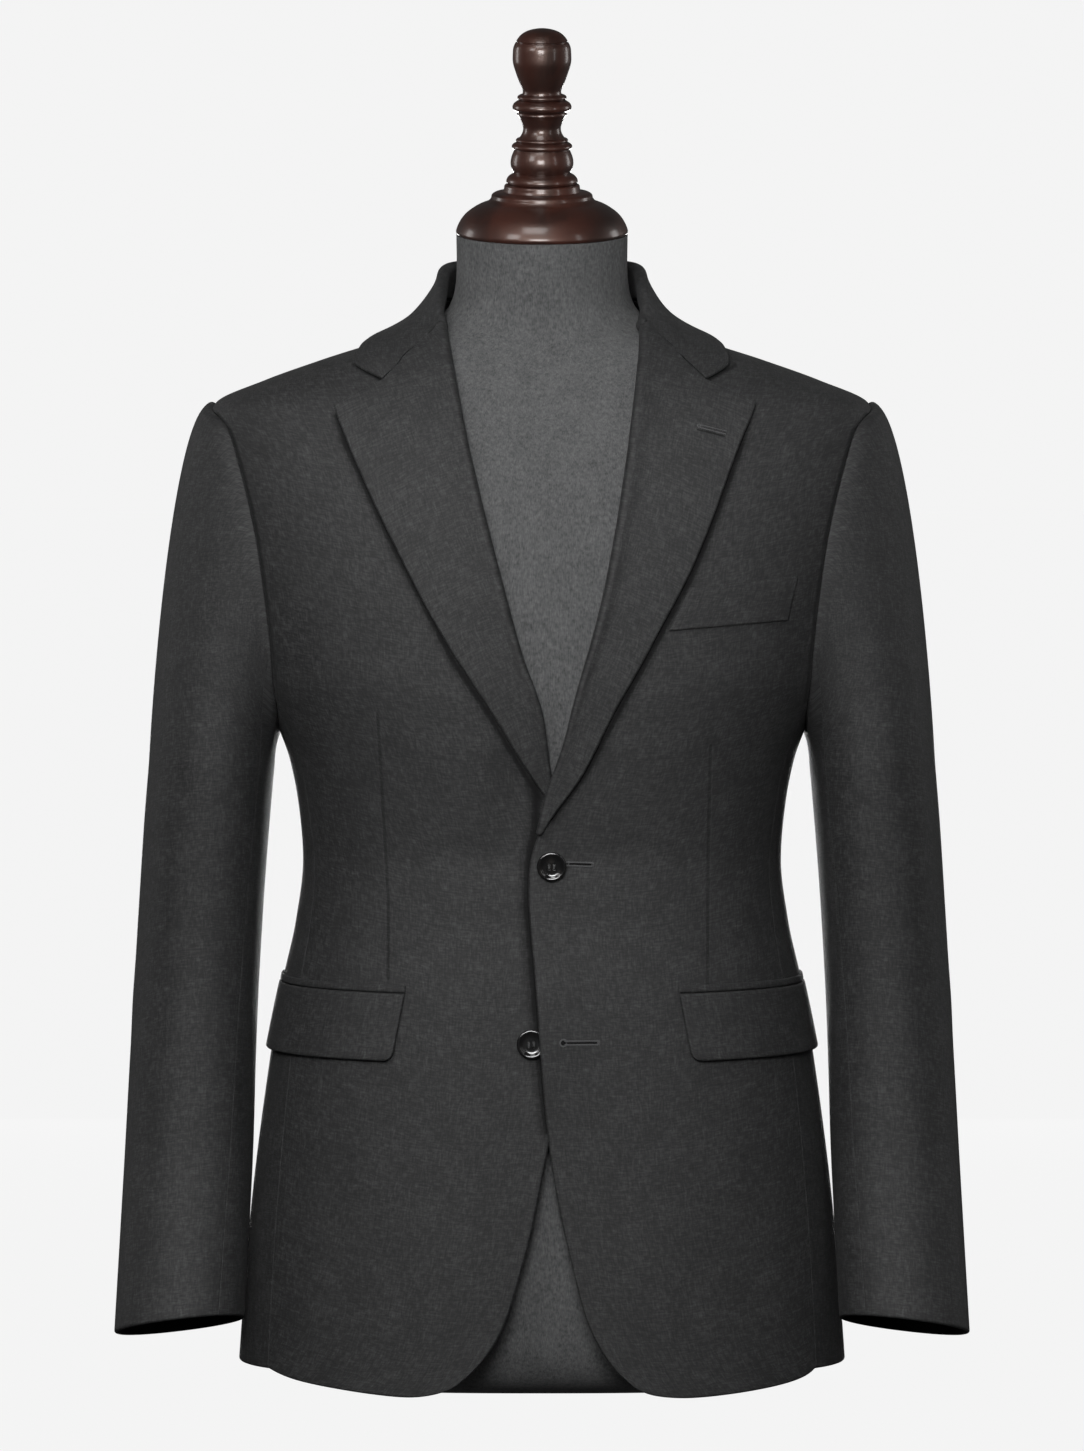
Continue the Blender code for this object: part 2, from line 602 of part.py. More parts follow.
def pocket(maker, side, word, cloth):
    """A flap that hangs from a narrow jetting, both moved out from the front and round the side."""
    columns = 13
    end = math.radians(FLAP_END_ANGLE)
    top_start = flat_points((FLAP_INNER_TOP,))[0]
    foot_start = flat_points((FLAP_INNER_FOOT,))[0]
    share = even(columns)[:, None]
    top = top_start + (np.array([end, FLAP_END_TOP * MM]) - top_start) * share
    foot = foot_start + (np.array([end, FLAP_END_FOOT * MM]) - foot_start) * share
    rows = even(4)[:, None]
    inner = foot[0] + (top[0] - foot[0]) * rows
    outer = foot[-1] + (top[-1] - foot[-1]) * rows
    patch = net(foot, top, inner, outer)
    patch[0, 0] += (patch[1, 1] - patch[0, 0]) * 0.22
    lying = CLOTH + LAYER_GAP
    flare = 0.0012 * (1 - even(4))[:, None] * np.ones(columns + 1)[None, :]
    grid = off_body(patch[..., 0], patch[..., 1], lying + flare)
    maker.sheet("flap_" + word, grid, side, CLOTH, cloth)
    lower = top + (0, 0.0004)
    upper = top + (0, 0.0004 + JET_HEIGHT * MM)
    strip = np.stack([lower, upper])
    grid = off_body(strip[..., 0], strip[..., 1], np.full(strip.shape[:2], lying))
    maker.sheet("jet_" + word, grid, side, WELT_CLOTH, cloth)


def breast_welt(maker, cloth):
    share = even(8)[:, None]
    ends = np.array([WELT_FOOT, WELT_TOP], float)
    foot, top = (flat_points(first + (last - first) * share) for first, last in ends)
    rows = even(2)[:, None]
    patch = net(foot, top, foot[0] + (top[0] - foot[0]) * rows, foot[-1] + (top[-1] - foot[-1]) * rows)
    grid = off_body(patch[..., 0], patch[..., 1], np.full(patch.shape[:2], CLOTH + LAYER_GAP))
    maker.sheet("breast_welt", grid, 1, WELT_CLOTH, cloth)


def button(maker, name, side, out, height, lift, material):
    """A dished four-hole button, its back on the cloth."""
    radius, depth = BUTTON_RADIUS / MM, BUTTON_DEPTH / MM
    profile = (
        (0, depth * 0.62), (radius * 0.60, depth * 0.62), (radius * 0.74, depth * 0.94), (radius * 0.86, depth),
        (radius * 0.96, depth * 0.86), (radius, depth * 0.55), (radius * 0.95, depth * 0.20),
        (radius * 0.78, 0), (0, 0),
    )
    obj = maker.turned(name, profile, material, 20)
    for i in range(4):
        turn = math.pi / 4 + i * math.pi / 2
        bpy.ops.mesh.primitive_cylinder_add(vertices=8, radius=BUTTON_HOLE, depth=BUTTON_DEPTH * 4)
        cutter = bpy.context.active_object
        cutter.name = f"cut_{name}_{i}"
        for collection in list(cutter.users_collection):
            collection.objects.unlink(cutter)
        maker.cutters.objects.link(cutter)
        cutter.parent = obj
        cutter.location = (BUTTON_HOLE_SPREAD * math.cos(turn), BUTTON_HOLE_SPREAD * math.sin(turn), 0)
        cutter.hide_render = True
        cutter.display_type = "WIRE"
        cut = obj.modifiers.new(f"hole_{i}", "BOOLEAN")
        cut.operation = "DIFFERENCE"
        cut.object = cutter
    angle = front_angle(out, height)
    place = off_body(angle, height, lift) * np.array([side, 1, 1])
    normal = normal_of(angle, height) * np.array([side, 1, 1])
    obj.location = Vector(place)
    obj.rotation_euler = Vector(normal).to_track_quat("Z", "Y").to_euler()


def form_body(maker, cloth):
    """The limbless torso: the body's own sections, drawn in, with blunt shoulders and a short neck."""
    around = 36
    turn = np.linspace(-math.pi, math.pi, around, endpoint=False)
    mirrored = np.where(np.abs(turn) > math.pi / 2, np.sign(turn) * math.pi - turn, turn)
    flip = np.where(np.abs(turn) > math.pi / 2, -1.0, 1.0)
    rings = []
    for height, gap, limit in rows_of(FORM):
        ring = off_body(mirrored, np.full(around, height), np.full(around, -gap))
        ring[:, 0] *= (1 + (np.abs(ring[:, 0]) / limit) ** 14) ** (-1 / 14) * flip
        if height < 0.15:
            ring[:, 2] = height
        rings.append(ring)
    for height, half, depth, back in rows_of(NECK):
        ring = [half * np.cos(turn), back + depth * np.sin(turn), np.full(around, height)]
        rings.append(np.stack(ring, axis=-1))
    tilt = np.array(Matrix.Rotation(NECK_TILT, 3, "X"))
    flat = np.stack([NECK_HALF_WIDTH * np.cos(turn), NECK_HALF_DEPTH * np.sin(turn), np.zeros(around)], axis=-1)
    rings.append(flat @ tilt.T + np.array([0, NECK_TOP_MIDDLE, NECK_TOP]))
    return maker.skin("form_body", rings, cloth)


def turned_top(maker, wood):
    """The cap on the neck's sloping top, and the finial on the cap."""
    above = 0.0004
    for name, profile in (("form_cap", CAP), ("form_finial", FINIAL)):
        obj = maker.turned(name, profile, wood, 24)
        back, up = NECK_TOP_MIDDLE - above * math.sin(NECK_TILT), NECK_TOP + above * math.cos(NECK_TILT)
        obj.location = (0, back, up)
        obj.rotation_euler = (NECK_TILT, 0, 0)


def main():
    for obj in list(bpy.data.objects):
        bpy.data.objects.remove(obj, do_unlink=True)
    maker = Maker("suit_jacket_on_form")
    cloth = make_material("charcoal_wool", CHARCOAL, 0.85)
    form_cloth = make_material("form_cloth", FORM_CLOTH, 0.95)
    wood = make_material("turned_wood", TURNED_WOOD, 0.18)
    black = make_material("button_black", BUTTON_BLACK, 0.2)
    for side, word, edge, hem in ((1, "left", LEFT_EDGE, LEFT_HEM), (-1, "right", RIGHT_EDGE, RIGHT_HEM)):
        front_panel(maker, side, "front_" + word, edge, hem, cloth)
        side_panel(maker, side, "side_" + word, cloth)
        back_panel(maker, side, "back_" + word, cloth)
        sleeves(maker, side, word, cloth)
        pocket(maker, side, word, cloth)
    lapel(maker, 1, "lapel_left", LEFT_EDGE, LEFT_GORGE, LEFT_TIP, LEFT_LAPEL, cloth)
    lapel(maker, -1, "lapel_right", RIGHT_EDGE, RIGHT_GORGE, RIGHT_TIP, RIGHT_LAPEL, cloth)
    collar(maker, cloth)
    collar_stand(maker, cloth)
    breast_welt(maker, cloth)
    button(maker, "button_upper", 1, 0.0065, 0.3740, CLOTH + SHANK, black)
    lower_drop = float(right_drop(np.array(0.0072), np.array(0.2530)))
    button(maker, "button_lower", -1, 0.0072, 0.2530, lower_drop + CLOTH + LAYER_GAP, black)
    form_body(maker, form_cloth)
    turned_top(maker, wood)


main()
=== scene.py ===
"""Dresses a two-button, notch-lapel suit jacket on a limbless dress form.

Every cloth piece lies on one body surface, a stack of rounded sections. A piece is the net
between its border lines on that surface, and it gets a wall of cloth whose edges are rounded.
Tables are in millimetres and degrees on the jacket's own left half, with heights above the
floor line of the pattern; the form's foot stands FOOT_RISE above that line.
"""

from __future__ import annotations

import json
import logging
import math
from dataclasses import dataclass
from enum import Enum
from typing import Any, Callable

import bpy
import numpy as np
from mathutils import Matrix, Vector

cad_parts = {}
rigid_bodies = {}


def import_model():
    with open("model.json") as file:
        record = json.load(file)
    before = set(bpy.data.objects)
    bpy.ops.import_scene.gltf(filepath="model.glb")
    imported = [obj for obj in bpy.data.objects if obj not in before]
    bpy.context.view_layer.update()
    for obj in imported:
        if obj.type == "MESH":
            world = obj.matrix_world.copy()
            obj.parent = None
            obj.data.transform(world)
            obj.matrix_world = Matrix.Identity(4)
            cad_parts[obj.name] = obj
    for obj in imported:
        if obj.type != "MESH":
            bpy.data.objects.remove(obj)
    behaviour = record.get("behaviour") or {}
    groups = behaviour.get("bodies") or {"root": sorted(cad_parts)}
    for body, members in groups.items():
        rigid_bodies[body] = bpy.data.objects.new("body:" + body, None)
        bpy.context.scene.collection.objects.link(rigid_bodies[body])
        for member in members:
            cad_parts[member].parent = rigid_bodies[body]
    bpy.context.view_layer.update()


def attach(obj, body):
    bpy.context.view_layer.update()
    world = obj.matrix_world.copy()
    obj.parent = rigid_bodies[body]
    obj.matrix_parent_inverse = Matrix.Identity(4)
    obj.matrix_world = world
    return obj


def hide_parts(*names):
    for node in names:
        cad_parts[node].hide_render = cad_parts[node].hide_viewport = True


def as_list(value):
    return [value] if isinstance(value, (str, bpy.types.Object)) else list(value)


LOG = logging.getLogger("suit")
MM = 0.001
FOOT_RISE = 0.009

Grid = np.ndarray
Line = Callable[[Grid], Grid]
Table = tuple[tuple[float, ...], ...]
Colour = tuple[float, float, float, float]

ENDS = np.array([0.0, 1.0])

# Cloth and gaps, in metres
CLOTH = 0.0020
SLEEVE_CLOTH = 0.0017
LAPEL_CLOTH = 0.0022
COLLAR_CLOTH = 0.0022
WELT_CLOTH = 0.0016
LAYER_GAP = 0.0003
SEAM_GAP = 0.0001
UNDERLAP_DROP = 0.0027
CROSSING_DROP = 0.0040
SHANK = 0.0004
STITCH_LIFT = 0.00008
SECTION_POWER = 2.5

# Angles above which an edge is drawn sharp
SHARP_CLOTH = math.radians(52)
SHARP_FORM = math.radians(50)
SHARP_TURNED = math.radians(38)

# Body sections: height, half width, front depth, back depth
BODY: Table = (
    (12, 208.5, 128, 124), (100, 202, 126, 120), (151, 197, 124, 116), (234, 186, 121, 108),
    (289, 177, 118, 101), (330, 168, 114.5, 97), (372, 163, 113, 96), (413, 166.5, 118, 101),
    (441, 171.5, 122, 106), (465, 180, 125, 110), (500, 196, 127.5, 117), (550, 210, 126.5, 123),
    (600, 219, 121, 123), (650, 226, 108, 115), (675, 228, 97, 107), (686, 223.5, 91, 102),
    (701.5, 190, 82, 95), (715.3, 151.5, 73, 88), (732.5, 100, 62, 80), (740, 85, 58, 77),
    (748, 75, 55, 74), (757, 68, 53, 72), (765, 66, 52, 71),
)

# Armhole seam from the shoulder down the front, under the arm and up the back: angle, height
ARMHOLE_FRONT: Table = (
    (3, 686), (-7, 680), (-12.5, 669), (-15.5, 648), (-18.2, 622), (-20, 596), (-21.2, 550),
    (-19.6, 508), (-16, 484),
)
ARMHOLE_UNDER: Table = ((-16, 484), (-9, 468), (0, 462), (11, 466), (18, 480), (23, 505))
ARMHOLE_BACK: Table = (
    (23, 505), (25, 540), (24.5, 580), (22, 615), (19, 645), (14, 668), (9, 681), (3, 686),
)
SHOULDER_ANGLE = math.radians(3)
NECK_POINT = 0.757
BACK_HEM = 0.029

# Upright seams: angle, height
FRONT_SIDE_SEAM: Table = ((-21, 27), (-20, 230), (-18, 372), (-16, 484))
SIDE_BACK_SEAM: Table = ((29, 28), (27, 230), (24, 372), (23, 505))

# Front edge, roll and neck of each front, from the bottom corner up: out from the centre, height
LEFT_EDGE: Table = (
    (63, 19), (55, 26), (49, 32), (41, 43), (30, 66), (22, 95), (15, 125), (8, 161), (3, 200),
    (-1, 245), (-5, 300), (-9, 350), (-9, 368), (-6.5, 384), (-2, 398), (3, 421), (10, 442),
    (17, 466), (21, 484), (32, 523), (42, 563), (50, 605), (57, 650), (62, 689), (65.5, 720),
    (67, 740), (67.5, 757),
)
RIGHT_EDGE: Table = (
    (61, 19), (52, 25), (45, 32), (36, 43), (24, 66), (16, 92), (7, 126), (0, 161), (-6, 190),
    (-13, 225), (-19, 260), (-22, 310), (-22, 350), (-20, 378), (-15, 402), (-10, 420), (-6, 433),
    (-1.5, 472), (10, 509), (21, 546), (32, 588), (44, 636), (56, 692), (61, 719), (64, 735),
    (66.5, 745), (67.5, 757),
)
# Hem of each front from the bottom corner to the side seam: out from the centre, height
LEFT_HEM: Table = (
    (63, 19), (70, 15.5), (80, 12.8), (97, 11.4), (122, 12.6), (148, 15.5), (176, 21),
)
RIGHT_HEM: Table = (
    (61, 19), (68, 15.8), (76, 13.6), (90, 12), (110, 13), (137, 16), (169, 21),
)
# Gorge seam from the roll to the notch, lapel tip, and the lapel's edge down: out, height
LEFT_GORGE: Table = ((67, 738), (78, 731), (89, 722), (99, 712), (111, 702))
RIGHT_GORGE: Table = ((65, 738), (78, 729), (90, 720), (100, 709), (108, 702))
LEFT_LAPEL: Table = (
    (145, 687), (141.5, 677), (132, 655), (124, 634), (112, 602), (100, 574), (82, 540), (65.5, 509),
    (49, 480), (28, 438), (9, 411), (-0.5, 396.5),
)
RIGHT_LAPEL: Table = (
    (141, 685.5), (133, 664), (123, 641), (103, 599), (80, 554), (58, 516), (35, 481), (15, 447),
    (0, 424), (-13.5, 403),
)
# Collar from its front corner round to the centre back: angle, height; and its crease's rise
COLLAR_OUTER: Table = (
    (-24.5, 710.5), (-19, 718), (-8, 725.5), (4, 729), (22, 733), (45, 735), (68, 734), (90, 733),
)
COLLAR_SEAM: Table = ((-36, 739), (-20, 750), (4, 757), (30, 757), (60, 757), (90, 757))
STAND_RISE: Table = ((-36, 3), (-20, 9), (4, 19), (30, 25), (60, 28), (90, 29))
# How far the roll's bulge stands beyond the fronts' cut edge: height, bulge
ROLL_BULGE: Table = ((396, 0.3), (430, 1.0), (470, 2.0), (560, 3.6), (690, 4.2), (740, 4.2), (757, 0))

# Sleeve below the arm: height, middle out, half width, middle back, half depth
SLEEVE: Table = (
    (440, 227.8, 43.4, 0.5, 69), (399, 231.3, 43.3, 2, 66), (344, 235.2, 43, 3, 62),
    (289, 238.4, 43, 0, 58), (234, 241, 43.5, -7, 54), (178, 243.1, 44.2, -18, 50),
    (123, 245.6, 44.5, -34, 47.5), (52, 249, 44.8, -55, 45.5),
)
# Form: height, gap inside the jacket, greatest half width of the blunt shoulder
FORM: Table = (
    (9, 64, 300), (11.5, 54, 300), (16, 45, 300), (22, 38, 300), (30, 33, 300), (44, 28, 300),
    (80, 22, 300), (140, 17, 300), (220, 13, 300), (300, 11.5, 300),
    (372, 10.5, 300), (430, 9, 250), (465, 7, 184), (500, 5.5, 178), (550, 4.5, 182),
    (600, 3.9, 190), (640, 4.0, 198), (666, 4.9, 198), (686, 5.4, 198), (698, 4.0, 222),
    (710, 3.4, 300), (722, 3.0, 300), (733, 2.6, 300),
)
# Neck rings of the form: height, half width, half depth, middle back
NECK: Table = ((742, 77, 63.5, 7), (750, 67, 61.5, 4.5), (760, 61.5, 60.5, 3.5), (775, 59, 60.5, 1.5))

# Turned cap and finial above the neck top: radius, height, 1 at a sharp corner
CAP: Table = (
    (0, 34.6, 1), (24, 34.6, 1), (25.6, 34, 0), (26.2, 31.5, 0), (26.8, 29.6, 1), (32.4, 28.8, 1),
    (34.6, 27.2, 0), (35, 25.2, 1), (36.6, 23.2, 0), (41, 21.2, 0), (48, 17.5, 0), (53.5, 13, 0),
    (57, 8, 0), (58.9, 3.6, 0), (59.2, 1.6, 0), (58.4, 0, 1), (0, 0, 1),
)
FINIAL: Table = (
    (0, 142.3, 0), (8, 141, 0), (13.8, 138.2, 0), (16.6, 135.2, 0), (17.6, 133.7, 1), (17.1, 132.9, 0),
    (18.3, 132.2, 1), (19.5, 129.6, 0), (20.1, 125, 0), (20, 118.5, 0), (18.5, 113, 0),
    (16.6, 107.5, 0), (14.3, 102, 0), (13.2, 98.4, 0), (13.5, 96.8, 1), (15.9, 96.0, 0),
    (16.9, 94.9, 0), (16.6, 93.6, 0), (15.5, 92.9, 1), (17.2, 92.0, 1), (19.5, 90.2, 0),
    (20.3, 88.4, 0), (19.9, 86.4, 0), (18.2, 85.2, 1), (17.2, 84.4, 0), (17.3, 82.8, 1),
    (15.4, 80.4, 1), (15.0, 79.4, 0), (13.6, 76, 0), (13, 73.5, 0), (13.6, 70, 0), (15.6, 66.6, 1),
    (17.5, 65.9, 0), (18.0, 64.8, 0), (17.3, 63.7, 1), (19.6, 62.6, 0), (20.8, 61.0, 0),
    (20.3, 59.4, 0), (18.9, 58.6, 1), (20.6, 54.8, 0), (21.6, 50.5, 0), (21.3, 46.6, 0),
    (19.9, 43.2, 0), (19.4, 42.2, 1), (22.4, 40.6, 0), (24.2, 38.4, 0), (24.6, 36.4, 0),
    (23.8, 34.9, 1), (0, 34.9, 1),
)


class Slot(Enum):
    """The record's material slots."""

    WOOL = "wool"
    BUTTON = "button"
    FORM_CLOTH = "form_cloth"
    WOOD = "turned_wood"


class Hold(Enum):
    """How a piece of cloth is held where it is."""

    HUNG = "hung"
    FOLDED = "folded"
    LAID = "laid"


class Side(Enum):
    """The wearer's left is towards +X."""

    LEFT = 1
    RIGHT = -1

    @property
    def word(self) -> str:
        """The side's name, as in the nodes' names."""
        return self.name.lower()


def even(count: int) -> Grid:
    """Shares from 0 to 1 in this many even steps."""
    return np.linspace(0.0, 1.0, count + 1)


def edge_shares(length: float, step: float) -> Grid:
    """Shares of a line's length: even steps, with close ones at both ends for a rounded edge.

    Args:
        length: the line's length, in metres.
        step: the distance between points away from the ends, in metres.

    Returns:
        The shares, from 0 to 1.
    """
    near = np.array((0.0, 0.00022, 0.00055, 0.0010, 0.0017)) / length
    inside = np.linspace(near[-1], 1 - near[-1], max(2, round(length / step)) + 1)
    return np.concatenate([near[:-1], inside, 1 - near[:-1][::-1]])


def drawn_in(shares: Grid, length: float, first: float, last: float) -> Grid:
    """The shares moved so that they start and end these distances inside a line of that length."""
    return first / length + shares * (1 - (first + last) / length)


def eased(at: Grid, known: Grid, values: Grid) -> Grid:
    """A monotone cubic through known points, held flat beyond both ends.

    Args:
        at: where it is read.
        known: where its points lie, rising.
        values: its value at each of them.

    Returns:
        The value at each place.
    """
    at = np.clip(np.asarray(at, float), known[0], known[-1])
    step = np.diff(known)
    slope = np.diff(values) / step
    tangent = np.zeros(len(known))
    for i in range(1, len(known) - 1):
        if slope[i - 1] * slope[i] > 0:
            first = 2 * step[i] + step[i - 1]
            second = step[i] + 2 * step[i - 1]
            tangent[i] = (first + second) / (first / slope[i - 1] + second / slope[i])
    tangent[0], tangent[-1] = slope[0], slope[-1]
    i = np.clip(np.searchsorted(known, at, side="right") - 1, 0, len(known) - 2)
    t = (at - known[i]) / step[i]
    return (
        values[i] * (1 + 2 * t) * (1 - t) ** 2
        + tangent[i] * step[i] * t * (1 - t) ** 2
        + values[i + 1] * t * t * (3 - 2 * t)
        + tangent[i + 1] * step[i] * t * t * (t - 1)
    )


def from_table(at: Grid, table: Table, column: int = 1, scale: float = MM) -> Grid:
    """One column of a table read at values of its first column.

    Args:
        at: where it is read, in metres for a table of heights and else in its own unit.
        table: rows with a rising first column.
        column: the column that is read.
        scale: what the first column is multiplied by.

    Returns:
        The column's values there, in metres.
    """
    rows = np.array(table, float)
    return eased(at, rows[:, 0] * scale, rows[:, column] * MM)


def smooth_line(points: Grid, by_axis: bool = True) -> Line:
    """A smooth curve through points, as a function of the share of its length.

    Args:
        points: the points, one a row.
        by_axis: whether each axis counts by its own range, as where one is an angle.

    Returns:
        The function from shares to points.
    """
    points = np.asarray(points, float)
    measured = points / np.maximum(np.ptp(points, axis=0), 1e-9) if by_axis else points
    reach = np.concatenate([[0], np.cumsum(np.linalg.norm(np.diff(measured, axis=0), axis=1))])
    count = len(points)
    step = np.diff(reach)
    system = np.eye(count)
    right = np.zeros_like(points)
    for i in range(1, count - 1):
        system[i, i - 1 : i + 2] = step[i - 1], 2 * (step[i - 1] + step[i]), step[i]
        right[i] = 6 * ((points[i + 1] - points[i]) / step[i] - (points[i] - points[i - 1]) / step[i - 1])
    bend = np.linalg.solve(system, right)

    def at(shares: Grid) -> Grid:
        """The points at these shares of the length."""
        place = np.asarray(shares, float) * reach[-1]
        i = np.clip(np.searchsorted(reach, place, side="right") - 1, 0, count - 2)
        a = ((reach[i + 1] - place) / step[i])[:, None]
        b = 1 - a
        width = step[i][:, None]
        straight = a * points[i] + b * points[i + 1]
        return straight + ((a**3 - a) * bend[i] + (b**3 - b) * bend[i + 1]) * width**2 / 6

    return at


def straight(start: Grid, end: Grid) -> Line:
    """The straight line between two points, as a function of the share of its length."""
    return lambda shares: start + (end - start) * np.asarray(shares, float)[:, None]


def joined(first: Line, second: Line, meeting: float) -> Line:
    """Two lines that follow each other, as one function of the share; they meet at one share."""

    def at(shares: Grid) -> Grid:
        """The points at these shares."""
        shares = np.asarray(shares, float)
        early = first(np.clip(shares / meeting, 0, 1))
        late = second(np.clip((shares - meeting) / (1 - meeting), 0, 1))
        return np.where((shares <= meeting)[:, None], early, late)

    return at


def net(foot: Line, top: Line, inner: Line, outer: Line, across: Grid, up: Grid) -> Grid:
    """The grid between four border lines that share their corners.

    Args:
        foot: the lower border, from inner to outer.
        top: the upper border, from inner to outer.
        inner: the first border, from foot to top.
        outer: the last border, from foot to top.
        across: the columns' shares of foot and top.
        up: the rows' shares of inner and outer.

    Returns:
        The points, rows going up and columns going from inner to outer.
    """
    u, v = across[None, :, None], up[:, None, None]
    low, high = foot(ENDS), top(ENDS)
    corners = (1 - u) * (1 - v) * low[0] + u * (1 - v) * low[1] + (1 - u) * v * high[0] + u * v * high[1]
    rows = (1 - v) * foot(across)[None] + v * top(across)[None]
    return rows + (1 - u) * inner(up)[:, None] + u * outer(up)[:, None] - corners


def step_down(value: Grid, start: float, end: float) -> Grid:
    """1 at and below start, 0 at and above end, smooth between."""
    t = np.clip((end - np.asarray(value, float)) / (end - start), 0, 1)
    return t * t * (3 - 2 * t)


def unit(vectors: Grid) -> Grid:
    """Vectors of length 1 with these directions."""
    return vectors / np.maximum(np.linalg.norm(vectors, axis=-1, keepdims=True), 1e-12)


def facing_of(grid: Grid) -> Grid:
    """The unit way out of a grid whose rows go up and whose columns go to the right."""
    return unit(np.cross(np.gradient(grid, axis=1), np.gradient(grid, axis=0)))


def angle_line(table: Table) -> Grid:
    """Rows of angle and height made into radians and metres."""
    rows = np.array(table, float)
    return np.stack([np.radians(rows[:, 0]), rows[:, 1] * MM], axis=-1)


class BodySurface:
    """The jacket's shape: points by angle, 0 at the side and -90 degrees in front, and height."""

    small_turn, small_rise, pace_turn = 0.004, 0.0008, 0.002

    def column(self, height: Grid, column: int) -> Grid:
        """The half width (1), front depth (2) or back depth (3) of the section at a height."""
        return from_table(height, BODY, column)

    def front_angle(self, out: Grid, height: Grid) -> Grid:
        """The angle of the point of the front that lies this far out from the centre line."""
        share = np.clip(np.abs(out) / self.column(height, 1), 0, 0.9999)
        depth = self.column(height, 2) * (1 - share**SECTION_POWER) ** (1 / SECTION_POWER)
        return np.arctan2(-depth, out)

    def on(self, angle: Grid, height: Grid) -> Grid:
        """Points of the surface, in the object's frame.

        Args:
            angle: in radians, on the jacket's left half.
            height: above the pattern's floor line.

        Returns:
            The points, with the last axis holding x, y and z.
        """
        angle, height = np.broadcast_arrays(np.asarray(angle, float), np.asarray(height, float))
        across, along = np.cos(angle), np.sin(angle)
        depth = np.where(along < 0, self.column(height, 2), self.column(height, 3))
        wide = (np.abs(across) / self.column(height, 1)) ** SECTION_POWER
        deep = (np.abs(along) / depth) ** SECTION_POWER
        radius = (wide + deep) ** (-1 / SECTION_POWER)
        return np.stack([radius * across, radius * along, height - FOOT_RISE], axis=-1)

    def normal(self, angle: Grid, height: Grid) -> Grid:
        """The unit way out of the surface."""
        turn = self.on(angle + self.small_turn, height) - self.on(angle - self.small_turn, height)
        rise = self.on(angle, height + self.small_rise) - self.on(angle, height - self.small_rise)
        return unit(np.cross(turn, rise))

    def off(self, angle: Grid, height: Grid, out: Grid | float) -> Grid:
        """Points of the surface moved out along its normal."""
        return self.on(angle, height) + self.normal(angle, height) * np.asarray(out, float)[..., None]

    def flat(self, table: Table) -> Grid:
        """Rows of out and height made into angle and height."""
        rows = np.array(table, float) * MM
        return np.stack([self.front_angle(rows[:, 0], rows[:, 1]), rows[:, 1]], axis=-1)

    def turned_by(self, angle: Grid, height: Grid, distance: Grid) -> Grid:
        """The angle after going this far round the surface, away from the front centre."""
        stretch = self.on(angle + self.pace_turn, height) - self.on(angle - self.pace_turn, height)
        return angle + distance / (np.linalg.norm(stretch, axis=-1) / (2 * self.pace_turn))


SURFACE = BodySurface()


@dataclass(frozen=True)
class SoftFold:
    """A soft ridge or trough of cloth along a line between two places, fading at both ends."""

    start: tuple[float, float]
    end: tuple[float, float]
    half_width: float
    rise: float

    def relief(self, points: Grid, place: Callable[[float, float], Grid]) -> Grid:
        """How far the fold lifts each point.

        Args:
            points: the points of the cloth.
            place: gives the point of the cloth at an angle in degrees and a height in mm.

        Returns:
            The lift, in metres.
        """
        first, last = place(*self.start), place(*self.end)
        along = last - first
        share = np.clip(((points - first) @ along) / (along @ along), 0, 1)
        away = np.linalg.norm(points - first - share[..., None] * along, axis=-1)
        fade = np.sin(np.pi * np.clip(share, 0.001, 0.999)) ** 0.7
        return self.rise * MM * fade * np.exp(-((away / (self.half_width * MM)) ** 2))


def body_place(angle: float, height: float) -> Grid:
    """The point of the body surface at an angle in degrees and a height in mm."""
    return SURFACE.on(np.array(math.radians(angle)), np.array(height * MM))


def placed(name: str, data: Any) -> bpy.types.Object:
    """A new object in the scene with this mesh, light or camera."""
    obj = bpy.data.objects.new(name, data)
    bpy.context.scene.collection.objects.link(obj)
    return obj


@dataclass(frozen=True)
class Edge:
    """How a cloth wall ends: the radius of its rounding, and the thickness's share kept there."""

    radius: float | Grid
    kept: float | Grid

    def profile(self, distance: Grid) -> Grid:
        """The share of the full thickness at these distances from the edge."""
        near = 1 - np.clip(distance / self.radius, 0, 1)
        return self.kept + (1 - self.kept) * np.sqrt(np.clip(1 - near**2, 0, 1))


SEAM = Edge(0.0011, 0.30)
FOLD = Edge(0.0015, 0.05)
SOFT_SEAM = Edge(0.0009, 0.45)
FLUSH = Edge(0.0006, 0.85)


def edge_by_place(sewn: Grid) -> Edge:
    """An edge that is sewn flush where this is true, and free and folded elsewhere."""
    return Edge(np.where(sewn, FLUSH.radius, FOLD.radius), np.where(sewn, FLUSH.kept, FOLD.kept))


@dataclass(frozen=True)
class Cut:
    """The flat piece before sewing: width, length and area, in metres and square metres."""

    width: float
    length: float
    area: float


